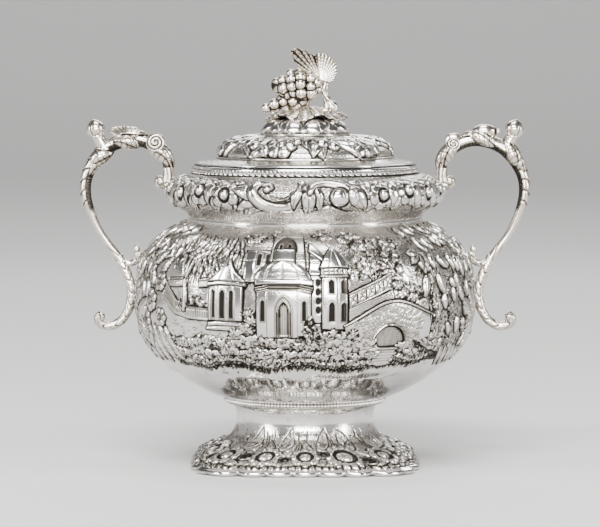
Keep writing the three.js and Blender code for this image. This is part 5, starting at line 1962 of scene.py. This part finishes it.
def piercing_centres():
    """(x, y, angle) of each hole through the foot, in two staggered rings."""
    centres = []
    for k in range(PIERCINGS):
        angle = (k + 0.5) * TAU / PIERCINGS
        radius = foot_outline(angle) - 8.5 - (2.2 if k % 2 == 0 else -2.2)
        centres.append((radius * math.sin(angle), -radius * math.cos(angle), angle))
    return centres


def pierce(points, centres, snap):
    """Marks the quads outside every hole and pulls the vertices beside each hole onto its edge."""
    x, y = points[..., 0], points[..., 1]
    keep = np.ones((points.shape[0] - 1, points.shape[1]), dtype=bool)
    after = np.roll(np.arange(points.shape[1]), -1)
    for cx, cy, _ in centres:
        gap = np.hypot(x - cx, y - cy)
        near = np.abs(gap - PIERCING_RADIUS) < snap
        scale = np.where(near, PIERCING_RADIUS / np.maximum(gap, 1e-6), 1.0)
        x[:] = np.where(near, cx + (x - cx) * scale, x)
        y[:] = np.where(near, cy + (y - cy) * scale, y)
        mid_x = (x[:-1] + x[1:] + x[:-1, after] + x[1:, after]) / 4
        mid_y = (y[:-1] + y[1:] + y[:-1, after] + y[1:, after]) / 4
        keep &= np.hypot(mid_x - cx, mid_y - cy) > PIERCING_RADIUS - 0.05
    return keep


def draw_foot(sheet, run, v, centres):
    """Flowers and leaves on the flange, each hole in a ring, and leaves that climb the spool."""
    half = sheet.girth / 2
    sheet.stipple(-half, half, 0.8, 24, 1.1, 0.22, 0.72, 0.33)
    sheet.stipple(-half, half, 24, 30, 1.4, 0.1, 0.35, 0.28)
    leaves = 14
    for k in range(leaves):
        u = -half + sheet.girth * (k + 0.32) / leaves
        lean = 24 if k % 4 else -30
        sheet.leaf(u, 15.5, 90 - lean, 15.5, 7.4, bend=-0.08, lift=0.12, veins=4, fat=0.9, rib_dark=0.5)
        sheet.leaf(u - 3, 15.0, 90 + lean * 1.2, 10, 5.2, bend=0.1, lift=0.1, veins=3, rib_dark=0.5)
        for blade in range(5):
            start = u + 9.5 + 1.5 * blade
            reach = 25 + 3.5 * math.sin(blade * 2.1 + k)
            sheet.cut(arc([(start, 16.5), (start + 0.6, 21), (start - 1.6 + 0.7 * blade, reach)]), 0.42,
                      0.22, 0.85)
        for _ in range(12):
            at = (u + sheet.random.uniform(-6, 16), sheet.random.uniform(17, 27))
            sheet.cut([at, (at[0] + 0.3, at[1] + 0.5)], 0.36, 0.15, 0.7)
    flowers = 16
    for k in range(flowers):
        u = -half + sheet.girth * k / flowers
        size = (6.6, 8.4, 5.6, 6.6)[k % 4]
        for side in (-1, 1):
            sheet.leaf(u + side * 3, 9, 90 - side * 62, 11, 5.2, bend=0.1 * side, lift=0.7, veins=4)
            sheet.leaf(u + side * 3, 8, -90 + side * 58, 9, 4.2, bend=-0.1 * side, lift=0.7, veins=3)
        sheet.flower(u, 9.8, size * 1.22, petals=(8, 14, 7, 12)[k % 4], lift=1.1, turned=0.3 * k,
                     heart=0.5, rings=0)
        sheet.blob(u, 9.8, size * 0.64, size * 0.62, 0.8, dark=0.6, line=1.1)
        sheet.blob(u, 9.8, size * 0.47, size * 0.46, 1.6, line=0.9)
        sheet.pepper(u, 9.8, size * 0.8, size * 0.8, 14, 0.3, dark=0.6)
    outline = foot_outline(np.array([c[2] for c in centres]))
    for (x, y, angle), edge in zip(centres, outline):
        share = (edge - FOOT_INNER) / (FOOT_HALF - FOOT_INNER)
        radius = FOOT_INNER + (math.hypot(x, y) - FOOT_INNER) / share
        at = float(np.interp(-radius, -run[:, 0], v))
        u = (angle if angle < math.pi else angle - TAU) * FOOT_MIDDLE
        sheet.blob(u, at, 2.9, 2.9, 1.2, line=0.9)
        sheet.blob(u, at, 2.0, 2.0, 0.2, dark=1.0, line=1.0)
    for k in range(EDGE_CUTS):
        u = -half + sheet.girth * (k + 0.5) / EDGE_CUTS
        sheet.cut([(u, 0.2), (u, 2.9)], 0.46, 0.5, 1.0)
    sheet.cut([(-half, 3.3), (half, 3.3)], 0.26, 0.2, 0.6)


# ---- Handles ----

BRANCH_POINTS = [
    (71.1, 149.4), (72, 158.4), (79, 166.3), (89.7, 169.4), (102.7, 165.1), (112, 153.5), (113.9, 142.3),
    (108, 123.8), (96.9, 107.8), (95.4, 105),
]
LOWER_SCROLL_POINTS = [
    (96.4, 106.4), (92.9, 99.5), (90.5, 91), (91.9, 81), (96.6, 74.4), (102.2, 72.1), (106.6, 73.6),
    (107.6, 76.4),
    (105.6, 77.6),
]
STRUT_POINTS = [(97, 108.4), (94.3, 105.4), (91.2, 104.9), (87.8, 106.8), (86.4, 110.4)]
BRANCH_SHARES = (0, 0.06, 0.16, 0.3, 0.45, 0.6, 0.72, 0.85, 1)
BRANCH_RADII = (2.0, 2.5, 3.2, 3.6, 3.4, 2.7, 2.2, 1.9, 2.3)


class SUGAR_BOWL_OT_handles(bpy.types.Operator):
    """Make both branch handles with their leaves, buds, flowers and scrolls"""

    bl_idname = "sugar_bowl.handles"
    bl_label = "Handles"

    def execute(self, context):
        bark = context.scene.sugar_bowl_handle_sizes.bark / MM
        for side in ("right", "left"):
            make_branch(side, bark)
            make_branch_leaves(side)
            make_branch_flowers(side)
        return {"FINISHED"}


def flat_path(points, step=0.45):
    """3-D points in the XZ plane on a smooth curve through [x, z] points."""
    run = smooth_run(points, step)
    return np.stack([run[:, 0], np.zeros(len(run)), run[:, 1]], -1)


def branch_path():
    path = flat_path(BRANCH_POINTS)
    share = np.linspace(0, 1, len(path))
    return path, np.interp(share, BRANCH_SHARES, BRANCH_RADII)


def cast_piece(thing, side, *parts):
    """Finishes a cast handle piece that stands for CAD nodes of its handle."""
    finish_piece(thing, "bowl", cast_silver(), CAST_SLOT, *[f"{side}_handle_{part}" for part in parts])


def make_branch(side, bark):
    """The main rod, with its volute, lower scroll, strut and knob."""
    turned = side == "left"
    path, radius = branch_path()
    whole = np.linalg.norm(np.diff(path, axis=0), axis=1).sum()

    def branch_relief(along, angle):
        share = along / whole
        leafy = smooth_step(0.36, 0.42, share) * (1 - smooth_step(0.68, 0.7, share))
        outer = smooth_step(-0.25, 0.05, np.cos(angle - 0.2))
        scale = (along / 5.6 + 0.5 * np.abs(np.sin(angle)) ** 1.5) % 1.0
        scales = bark * (1.2 * scale**0.6 + 0.5) * outer * leafy
        edge = np.exp(-(((scale - 0.04) / 0.09) ** 2)) * outer * leafy
        tail = smooth_step(0.88, 0.92, share)
        flute = np.abs(np.sin(angle * 2 + along * 0.35))
        matt = (1 - outer) * (1 - smooth_step(0.7, 0.74, share))
        dots = np.sin(along * 5.2 + 2 * np.sin(angle * 9)) * np.sin(angle * 11 + along)
        height = scales - 0.6 * bark * edge - 0.3 * bark * (dots > 0.2) * matt
        height = height - bark * 0.9 * (1 - flute) ** 4 * tail
        tarnish = 1.0 * edge + matt * (0.6 + 0.4 * (dots > 0.1)) + 0.9 * (1 - flute) ** 4 * tail
        return height, np.clip(tarnish, 0, 1)

    main = rod(f"{side}_branch", path, radius, branch_relief, sides=48, half_turn=turned)
    cast_piece(main, side, "branch")

    def scroll_relief(along, angle):
        scale = (along / 6.5 + 0.22 * angle + 0.35 * np.cos(angle * 2)) % 1.0
        edge = np.exp(-(((scale - 0.05) / 0.07) ** 2)) * (np.cos(angle) < 0.75)
        vein = np.exp(-(((scale - 0.5) / 0.05) ** 2)) * 0.5
        return 0.45 * scale**0.7 - 0.35 * edge - 0.15 * vein, np.clip(0.9 * edge + 0.7 * vein, 0, 1)

    path = flat_path(LOWER_SCROLL_POINTS, 0.35)
    share = np.linspace(0, 1, len(path))
    radius = np.interp(share, (0, 0.3, 0.6, 0.8, 0.9, 1), (2.3, 2.2, 2.0, 1.9, 2.2, 2.4))
    lower = rod(f"{side}_lower_scroll", path, radius, scroll_relief, sides=36, half_turn=turned)
    cast_piece(lower, side, "lower_scroll")
    path = flat_path(STRUT_POINTS, 0.35)
    share = np.linspace(0, 1, len(path))
    radius = np.interp(share, (0, 0.4, 0.75, 0.9, 1), (2.0, 1.5, 1.5, 1.9, 1.7))
    strut = rod(f"{side}_belly_strut", path, radius, scroll_relief, sides=30, half_turn=turned)
    cast_piece(strut, side, "belly_strut")
    knob = ball(f"{side}_strut_knob", (87.6, 0, 112.2), (1.7, 1.7, 2.3), turned, swirl=0.3)
    cast_piece(knob, side)
    foot = ball(f"{side}_belly_plate", (85.6, 0, 96.5), (2.0, 3.0, 7.0), turned, swirl=0.15)
    cast_piece(foot, side)
    volute = ball(f"{side}_volute", (75.4, 0, 147.6), (3.1, 3.3, 3.1), turned, swirl=1.0)
    cast_piece(volute, side, "volute")
    neck = rod(f"{side}_volute_neck", flat_path([(69.6, 148.6), (71.6, 146.4), (74.6, 145.6),
                                                 (77.2, 146.8)], 0.35),
               (1.7,), scroll_relief, sides=28, half_turn=turned)
    cast_piece(neck, side)
    flutes = rod(f"{side}_branch_socket", flat_path([(71.2, 147.2), (70.9, 150.5), (71.4, 154.6)], 0.3),
                 (2.9,), lambda along, angle: (0.5 * np.abs(np.sin(angle * 3.5)) - 0.05 * along,
                                               0.8 * (1 - np.abs(np.sin(angle * 3.5))) ** 3 + 0 * along),
                 sides=42, half_turn=turned)
    cast_piece(flutes, side)


def smooth_step(low, high, value):
    t = np.clip((value - low) / (high - low), 0, 1)
    return t * t * (3 - 2 * t)


def ball(name, centre, radii, half_turn=False, swirl=0.0, axis=(0, -1, 0)):
    """An oval knob with a spiral groove cut into both cheeks."""
    rows, columns = 40, 48
    polar = np.linspace(0.08, math.pi - 0.08, rows)[:, None]
    angle = ring_angles(columns)[None]
    out = np.sin(polar) + 0 * angle
    spiral = (angle / TAU + 1.9 * np.minimum(polar, math.pi - polar) / (math.pi / 2)) % 1.0
    groove = np.exp(-(((spiral - 0.5) / 0.12) ** 2)) * swirl * smooth_step(0.1, 0.35, out)
    scale = 1 - 0.13 * groove
    points = np.stack([np.sin(polar) * np.cos(angle), np.sin(polar) * np.sin(angle),
                       np.cos(polar) + 0 * angle], -1)
    radii, centre = np.asarray(radii), np.asarray(centre)
    points = facing(points[::-1] * scale[::-1, :, None], (0, 0, 0), axis) * radii + centre
    tips = facing(np.array([[0, 0, -1.0], [0, 0, 1.0]]), (0, 0, 0), axis) * radii + centre
    return capped(name, points, tips, 0.85 * groove[::-1], half_turn)


def wrap_leaf(side, label, start, stop, turn_from, turn_to, half_width, lift, part=None):
    """A leaf laid on the branch from one share of its length to another, turning round it."""
    path, radius = branch_path()
    rows, columns, veins = 44, 25, 5
    share = np.linspace(start, stop, rows)
    at = share * (len(path) - 1)
    line = np.stack([np.interp(at, np.arange(len(path)), axis) for axis in path.T], -1)
    thick = np.interp(at, np.arange(len(path)), radius)[:, None]
    t = np.linspace(0, 1, rows)[:, None]
    across = np.linspace(-1, 1, columns)[None]
    half = half_width * np.sin(math.pi * np.clip(t, 0.02, 0.99) ** 0.75) ** 0.8
    angle = turn_from + (turn_to - turn_from) * t + across * half / thick
    puff = (1 - across**2) ** 0.5 * (0.35 + 0.65 * np.sin(math.pi * t) ** 0.6)
    rib = np.exp(-((across * half / 0.34) ** 2))
    vein_at = (t * veins - 0.6 * np.abs(across)) % 1.0
    vein = np.exp(-(((vein_at - 0.5) / 0.1) ** 2)) * (1 - np.abs(across) ** 3)
    rise = -0.35 + (lift + 0.45) * puff - 0.3 * rib - 0.14 * vein
    order = slice(None, None, -1) if stop < start else slice(None)
    points = rod_points(line[order], (thick + rise)[order], angle[order])[order]
    # The leaf's edges are made fully dark, as tarnish and painted shade in the crease where the leaf meets
    # the branch.
    edge = np.clip((np.abs(across) - 0.72) / 0.2, 0, 1) + 0 * t
    tarnish = np.clip(0.85 * rib + 0.6 * vein + 1.0 * edge, 0, 1)
    leaf = shell(f"{side}_{label}", points, 0.5, tarnish, half_turn=side == "left")
    cast_piece(leaf, side, *([part] if part else []))


def make_branch_leaves(side):
    """The leaves that wrap the top of the branch, on the front and on the back."""
    front, back = math.pi / 2, -math.pi / 2
    if side == "left":
        # The left handle is the right one's shape turned half round, so its front is the other face.
        front, back = back, front
    wrap_leaf(side, "leaf_by_volute", 0.19, 0.05, front - 0.6, front + 0.3, 4.0, 1.9, part="leaf_1")
    wrap_leaf(side, "leaf_behind_volute", 0.20, 0.05, back + 0.6, back - 0.3, 4.0, 1.9)
    wrap_leaf(side, "outer_leaf", 0.17, 0.035, 0.1, 0.4, 3.4, 1.5)
    wrap_leaf(side, "top_leaf", 0.235, 0.36, front - 1.1, front + 0.3, 4.4, 2.1, part="leaf_2")
    wrap_leaf(side, "top_leaf_behind", 0.235, 0.36, back + 1.1, back - 0.3, 4.4, 2.1, part="leaf_3")
    wrap_leaf(side, "ridge_leaf", 0.21, 0.33, 0.2, -0.2, 3.6, 1.7)
    wrap_leaf(side, "calyx_leaf", 0.50, 0.38, front - 0.1, front - 1.1, 4.5, 2.5, part="leaf_4")
    wrap_leaf(side, "calyx_leaf_behind", 0.50, 0.38, back + 0.1, back + 1.1, 4.5, 2.5)
    wrap_leaf(side, "long_leaf", 0.41, 0.55, front - 0.9, front - 0.4, 3.2, 1.4)
    wrap_leaf(side, "long_leaf_behind", 0.41, 0.55, back + 0.9, back + 0.4, 3.2, 1.4)


def lobed_bud(name, centre, axis, radius, long, half_turn, sepals=3, dark_tip=0.0):
    """A closed round bud with a shallow seam between its petals and a short tip."""
    rows, columns = 48, 60
    t = np.linspace(0, 1, rows)[:, None]
    angle = ring_angles(columns)[None]
    out = radius * np.sin(math.pi * (0.05 + 0.935 * t)) ** 0.62
    seam = np.abs(np.cos(angle * sepals / 2))
    gap = smooth_step(0.09, 0.0, seam) * smooth_step(0.1, 0.3, t)
    fold = np.exp(-(((seam - 1) / 0.01) ** 2)) * smooth_step(0.15, 0.4, t) * 0.5
    out = out * (1 + 0.03 * seam) - 0.3 * gap - 0.12 * fold
    z = long * (t - 0.5)
    points = np.stack([out * np.sin(angle), -out * np.cos(angle), z + 0 * angle], -1)
    tips = np.array([[0, 0, -long * 0.5 - 0.3], [0, 0, long * 0.5 + 0.5]])
    tarnish = np.clip(0.9 * gap + 0.6 * fold + dark_tip * smooth_step(0.82, 0.9, t), 0, 1)
    return capped(name, facing(points, centre, axis), facing(tips, centre, axis), tarnish, half_turn)


def ringed_rose(name, centre, axis, radius, half_turn, turns=2.6):
    """A small rose: a disc whose petals wind inwards in raised rings."""
    rows, columns = 40, 72
    share = np.linspace(1, 0.02, rows)[:, None]
    angle = ring_angles(columns)[None]
    ring = (share * turns + angle / TAU) % 1.0
    ridge = np.abs(np.sin(math.pi * ring)) ** 0.7
    wave = 1 + 0.02 * np.cos(angle * 5) * share
    out = radius * share * wave
    height = 0.26 * radius * (1 - share**3) + 0.95 * ridge * smooth_step(0.02, 0.2, share) * smooth_step(1.02, 0.9, share)
    height = np.vstack([np.full((1, columns), -0.55 * radius), height])
    out = np.vstack([out[:1] * 0.96, out])
    ridge = np.vstack([ridge[:1] * 0, ridge])
    points = np.stack([out * np.sin(angle), -out * np.cos(angle), height + 0 * angle], -1)
    tips = np.array([[0, 0, -0.6 * radius], [0, 0, 0.3 * radius]])
    tarnish = np.clip(1.2 * (1 - ridge) ** 1.6, 0, 1) * smooth_step(1.03, 0.93,
                                                                    np.vstack([[[1.1]], share])) + 0 * angle
    return capped(name, facing(points, centre, axis), facing(tips, centre, axis), tarnish, half_turn)


def open_cup(name, centre, axis, radius, depth, half_turn):
    """An open flower: a shallow scalloped cup with a punched middle."""
    rows, columns = 22, 96
    angle = ring_angles(columns)[None]
    t = np.linspace(0, 1, rows)[:, None]
    rim = 1 + 0.05 * np.cos(angle * 8)
    outside = np.stack([radius * (0.25 + 0.75 * np.sin(t * math.pi / 2)) * rim, depth * (t - 1) + 0 * angle])
    inside_r = radius * (1 - t) * 0.94 * rim
    inside_z = -depth * 0.38 * (1 - (1 - t) ** 2) + 0.35 * np.abs(np.sin(angle * 8)) * (1 - t) + 0.2 * t
    dots = (np.sin(inside_r * 5.5) * np.sin(angle * 13) > 0.25) * smooth_step(0.15, 0.3, t)
    inside_z = inside_z - 0.12 * dots
    out = np.vstack([outside[0], inside_r])
    z = np.vstack([outside[1], inside_z])
    groove = (1 - np.abs(np.sin(angle * 4))) ** 4
    tarnish = np.vstack([0.25 * groove + 0 * t,
                         np.clip(0.4 + 0.55 * dots, 0, 1) * smooth_step(0.04, 0.12, t)])
    points = np.stack([out * np.sin(angle), -out * np.cos(angle), z], -1)
    tips = np.array([[0, 0, -depth], [0, 0, z[-1].mean()]])
    return capped(name, facing(points, centre, axis), facing(tips, centre, axis), tarnish, half_turn)


def make_branch_flowers(side):
    """The bud on its stalk, the flower beside it and the roses on the front and the back."""
    turned = side == "left"
    front = 1 if turned else -1
    stalk = flat_path([(103.2, 164.0), (105.6, 167.6), (107.4, 171.0)], 0.4)
    rod_radius = np.linspace(3.9, 3.1, len(stalk))
    cast_piece(rod(f"{side}_bud_stalk", stalk, rod_radius, sides=28, half_turn=turned), side, "bud_stalk")
    bud = lobed_bud(f"{side}_bud", (108.9, 0, 175.0), (0.3, 0, 1), 4.85, 9.6, turned)
    cast_piece(bud, side, "bud")
    calyx = ball(f"{side}_bud_calyx", (107.7, 0, 170.9), (3.5, 3.5, 1.7), turned, axis=(0, 0, 1))
    cast_piece(calyx, side)
    if turned:
        cup = open_cup(f"{side}_open_flower", (93.4, 0, 173.6), (-0.05, 0.36, 1), 8.0, 3.6, turned)
        cast_piece(cup, side, "open_flower")
    else:
        shut = lobed_bud(f"{side}_closed_bud", (93.4, 0, 173.4), (1, 0, 0.02), 3.9, 13.4, turned, 4,
                         dark_tip=0.8)
        cast_piece(shut, side, "closed_bud")
        tip = ball(f"{side}_closed_bud_tip", (100.4, 0, 173.6), (1.5, 1.6, 1.5), turned)
        cast_piece(tip, side)
    large, small = (front, -front) if turned else (-front, front)
    rose = ringed_rose(f"{side}_large_rose", (77.6, large * 3.6, 168.0), (0, large, 0.15), 5.0, turned)
    cast_piece(rose, side, "front_rose" if large == front else "back_rose")
    rose = ringed_rose(f"{side}_small_rose", (77.0, small * 3.6, 167.2), (0, small, 0.15), 3.7, turned)
    cast_piece(rose, side, "front_rose" if small == front else "back_rose")


# ---- Finial ----

# Each lobe of the bunch: its root and tip [x, z], the radius of its core, and its rings of grapes
# as share of the way along, radius and number.
GRAPE_LOBES = [
    ((5.6, 197.6), (-14.2, 197.2), 4.6,
     [(-0.02, 2.6, 4), (0.16, 5.3, 8), (0.4, 6.3, 9), (0.64, 5.6, 8), (0.85, 3.6, 5), (1.0, 1.0, 2)]),
    ((-1.0, 191.4), (-19.4, 185.9), 2.0, [(0.02, 3.0, 6), (0.3, 3.4, 6), (0.56, 2.6, 4), (0.78, 1.6, 3)]),
]
STEM_POINTS = [(10.4, 181.6), (11.8, 188.6), (9.8, 194.1), (11.0, 198.7)]
# Direction in degrees and reach of the vine leaf's edge from its base.
LEAF_EDGE = [
    (-20, 4.4), (-8, 6.2), (16, 8.6), (40, 10.8), (65, 12.6), (84, 13.6), (97, 14.0), (106, 12.6),
    (112, 14.4),
    (122, 19.0), (133, 22.4), (140, 20.6), (147, 15.6), (156, 10.2), (166, 5.2),
]
LEAF_BASE = (8.2, 200.6)


class SUGAR_BOWL_OT_finial(bpy.types.Operator):
    """Make the finial: a ruffled leaf, a vine stem, a bunch of grapes and a vine leaf"""

    bl_idname = "sugar_bowl.finial"
    bl_label = "Finial"

    def execute(self, context):
        make_leaf_plate()
        make_grapes(context.scene.sugar_bowl_cover_sizes.grape / MM)
        make_stem()
        make_vine_leaf()
        return {"FINISHED"}


def finial_piece(thing, *nodes):
    finish_piece(thing, "cover", cast_silver(), CAST_SLOT, *nodes)


def make_leaf_plate():
    """The big leaf under the grapes, its edge ruffled and turned up, veined from the stem."""
    rows, columns = 56, 260
    share = np.linspace(0.015, 1, rows)[:, None]
    angle = ring_angles(columns)[None]
    lobe = 1 + 0.07 * np.cos(angle * 5 + 0.6) + 0.035 * np.cos(angle * 13) + 0.13 * np.exp(-(((angle - 1.45) / 0.3) ** 2))
    out = 19.0 * share * lobe
    ruffle = 1.6 * np.cos(angle * 5 + 3.9) * smooth_step(0.4, 1.0, share)
    drop = 6.2 * smooth_step(0.2, 1.0, share) - 1.4 * smooth_step(0.82, 1.0, share)
    vein_at = (angle * 11 / TAU + 0.05 * np.sin(share * 9)) % 1.0
    vein = np.exp(-(((vein_at - 0.5) / 0.05) ** 2)) * smooth_step(0.1, 0.3, share)
    branch = (share * 9 - 1.6 * np.abs(vein_at - 0.5)) % 1.0
    fine = np.exp(-(((branch - 0.5) / 0.1) ** 2)) * 0.6 * smooth_step(0.25, 0.5, share)
    z = 186.0 - drop + ruffle - 0.35 * vein - 0.14 * fine + 0.5 * np.abs(vein_at - 0.5)
    points = np.stack([out * np.sin(angle), -0.86 * out * np.cos(angle), z], -1)
    tarnish = np.clip(1.0 * vein + 0.65 * fine + 0.35 * (1 - share), 0, 1)
    plate = shell("finial_leaf", points, 1.1, tarnish, closed=True)
    finial_piece(plate, "finial_leaf_plate")
    boss = turned_piece("finial_boss", ring_run(0, 179.6, 9.0, 3.6)[6:], 96)
    # The boss is evenly darkened, as painted shade under the leaf plate.
    set_tarnish_and_shade_value(boss, 0.55)
    finial_piece(boss)


def make_grapes(radius):
    """A bunch of grapes in two lobes that hangs to the left, with painted shade where the grapes touch."""
    random = np.random.default_rng(5)
    centres, sizes = [], []
    across = np.array([0.0, 1.0, 0.0])
    for lobe, ((root_x, root_z), (tip_x, tip_z), core_radius, rings) in enumerate(GRAPE_LOBES):
        root, tip = np.array([root_x, 0, root_z]), np.array([tip_x, 0, tip_z])
        axis = (tip - root) / np.linalg.norm(tip - root)
        up = np.cross(axis, across)
        for number, (share, ring, count) in enumerate(rings):
            for k in range(count):
                a = TAU * (k + 0.5 * (number % 2)) / count + 0.35 + random.normal(0, 0.08)
                out = ring + random.normal(0, 0.3)
                centres.append(root + (tip - root) * share + axis * random.normal(0, 0.4)
                               + (across * math.cos(a) + up * math.sin(a)) * out)
                sizes.append(radius * random.uniform(0.82, 1.06))
        centres.append(tip + axis * 0.8)
        sizes.append(radius * 0.86)
        core = rod(f"finial_grape_core_{lobe + 1}", np.linspace(root, tip - axis * 2, 30),
                   core_radius * np.sin(np.linspace(0.4, 2.75, 30)), sides=28)
        set_tarnish_and_shade_value(core, 1.0)
        finial_piece(core)
    centres, sizes = np.array(centres), np.array(sizes)
    source = mesh_points("finial_grape_bunch", centres, sizes)
    bunch = from_nodes(source, grape_nodes(), {"Segments": 26, "Rings": 16, "Material": cast_silver()})
    count = len(bunch.data.vertices)
    place = np.empty(count * 3, dtype=np.float32)
    bunch.data.vertices.foreach_get("co", place)
    place = place.reshape(-1, 3) / MM
    # Painted shade: each vertex darkens as it nears a neighbouring grape.
    gap = np.sort(np.linalg.norm(place[:, None] - centres[None], axis=2) - sizes[None], axis=1)[:, 1]
    set_tarnish_and_shade(bunch, np.clip(1.15 - gap / 0.7, 0, 1))
    finial_piece(bunch, "finial_grapes")


def mesh_points(name, centres, sizes):
    """An object of loose vertices that carry a size in metres."""
    mesh = bpy.data.meshes.new(name)
    mesh.from_pydata([tuple(float(c) * MM for c in p) for p in centres], [], [])
    layer = mesh.attributes.new("size", "FLOAT", "POINT")
    layer.data.foreach_set("value", (sizes * MM).astype(np.float32))
    made = bpy.data.objects.new(name, mesh)
    bpy.context.collection.objects.link(made)
    return made


def make_stem():
    """The vine stem that carries the bunch, its knot, a side leaf and a tendril."""

    def ridged(along, angle):
        ridge = np.abs(np.sin(angle * 3 + 0.25 * along))
        knot = np.exp(-(((along % 6.0) - 3) ** 2) / 0.5)
        return 0.3 * ridge + 0.35 * knot, 0.85 * (1 - ridge) ** 2 + 0 * knot

    path = flat_path(STEM_POINTS, 0.35)
    stem = rod("finial_vine_stem", path, np.linspace(2.0, 1.5, len(path)), ridged, sides=32)
    finial_piece(stem, "finial_stem")
    root = ball("finial_stem_root", (10.6, 0, 184.6), (4.2, 3.6, 1.7), axis=(0, 0, 1))
    finial_piece(root)
    spur = rod("finial_spur", flat_path([(9.8, 194.4), (7.4, 196.4), (4.6, 198.6)], 0.35), (1.4,),
               ridged, sides=24)
    finial_piece(spur)
    side_leaf = flat_leaf("finial_side_leaf", (12.0, -1.2, 189.8), (0.66, -0.1, -0.74),
                          (0.3, -0.9, 0.25), 7.0, 2.0)
    finial_piece(side_leaf, "finial_small_leaf")


def flat_leaf(name, base, ahead, face, long, half_width):
    """A small cupped leaf from a base point, with a middle rib."""
    rows, columns = 30, 17
    ahead = np.asarray(ahead, dtype=float) / np.linalg.norm(ahead)
    face = np.asarray(face, dtype=float)
    face = face - ahead * face.dot(ahead)
    face /= np.linalg.norm(face)
    over = np.cross(face, ahead)
    t = np.linspace(0, 1, rows)[:, None]
    across = np.linspace(-1, 1, columns)[None]
    half = half_width * np.sin(math.pi * np.clip(t, 0.03, 0.985)) ** 0.7
    rib = np.exp(-((across * half / 0.3) ** 2))
    rise = 0.9 * np.sin(math.pi * t) - 0.35 * across**2 * half - 0.25 * rib
    points = (np.asarray(base, dtype=float) + ahead * (long * t)[..., None]
              + over * (across * half)[..., None]
              + face * rise[..., None])
    return shell(name, points, 0.9, np.clip(0.8 * rib + 0 * t, 0, 1))


def make_vine_leaf():
    """The upright vine leaf: a tall narrow lobe and a round fan, veined from the stem."""
    rows, columns = 60, 190
    edge = np.array(LEAF_EDGE)
    degrees = np.linspace(edge[0, 0], edge[-1, 0], columns)[None]
    reach = np.interp(degrees, edge[:, 0], edge[:, 1])
    smooth = np.convolve(np.pad(reach[0], 4, mode="edge"), np.ones(9) / 9, mode="valid")[None]
    saw = (degrees / 9.0) % 1.0
    reach = smooth * (1 - 0.05 * saw)
    share = np.linspace(0.02, 1, rows)[:, None]
    a = np.radians(degrees)
    out = reach * share
    flute = np.abs(np.sin(math.pi * degrees / 9.0)) + 0 * share
    vein = (1 - flute) ** 3 * smooth_step(0.08, 0.3, share)
    sub = np.exp(-((((share * 8 - 1.2 * flute) % 1.0 - 0.5) / 0.12) ** 2)) * smooth_step(0.3, 0.5, share)
    away = 0.55 * flute * share - 0.3 * vein - 0.12 * sub
    notch = np.exp(-(((degrees - 106) / 5.0) ** 2)) * share
    x = LEAF_BASE[0] + out * np.cos(a)
    z = LEAF_BASE[1] + out * np.sin(a)
    lean = 0.16 * (out * np.sin(a)) - 0.008 * out**2
    y = -1.0 - away + lean + 1.6 * notch + 0.22 * np.clip(x - 9, 0, None)
    points = np.stack([x, y, z], -1)
    # Painted shade: the left lobe, which tilts away, is made darker.
    left = np.clip((degrees - 104) / 10, 0, 1)
    tarnish = np.clip(1.3 * vein**0.5 + 0.65 * sub + 0.85 * notch * (share > 0.5) + 0.25 * left, 0, 1)
    thick = 1.0 - 0.45 * share + 0 * degrees
    leaf = shell("finial_fan_leaf", points, thick, tarnish)
    finial_piece(leaf, "finial_vine_leaf")


# ---- Sidebar ----


class SUGAR_BOWL_PT_sidebar(bpy.types.Panel):
    """Sizes and buttons for the sugar bowl"""

    bl_idname = "SUGAR_BOWL_PT_sidebar"
    bl_label = "Sugar bowl"
    bl_space_type = "VIEW_3D"
    bl_region_type = "UI"
    bl_category = "Sugar bowl"

    def draw(self, context):
        layout = self.layout
        for store in STORES:
            group = getattr(context.scene, store)
            box = layout.box()
            for label in group.bl_rna.properties.keys():
                if label not in ("rna_type", "name"):
                    box.prop(group, label)
        for operator in OPERATORS:
            layout.operator(operator.bl_idname)


STORES = {
    "sugar_bowl_silver": SilverFinish,
    "sugar_bowl_sizes": BowlSizes,
    "sugar_bowl_cover_sizes": CoverSizes,
    "sugar_bowl_handle_sizes": HandleSizes,
}
OPERATORS = [
    SUGAR_BOWL_OT_stage,
    SUGAR_BOWL_OT_belly,
    SUGAR_BOWL_OT_collar,
    SUGAR_BOWL_OT_cover,
    SUGAR_BOWL_OT_foot,
    SUGAR_BOWL_OT_handles,
    SUGAR_BOWL_OT_finial,
]
CLASSES = [*STORES.values(), *OPERATORS, SUGAR_BOWL_PT_sidebar]


def register():
    for cls in CLASSES:
        bpy.utils.register_class(cls)
    for store, group in STORES.items():
        setattr(bpy.types.Scene, store, PointerProperty(type=group))


def unregister():
    for store in STORES:
        delattr(bpy.types.Scene, store)
    for cls in reversed(CLASSES):
        bpy.utils.unregister_class(cls)


def main():
    register()
    for operator in OPERATORS:
        family, name = operator.bl_idname.split(".")
        getattr(getattr(bpy.ops, family), name)()
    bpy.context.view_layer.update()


if __name__ == "__main__":
    main()
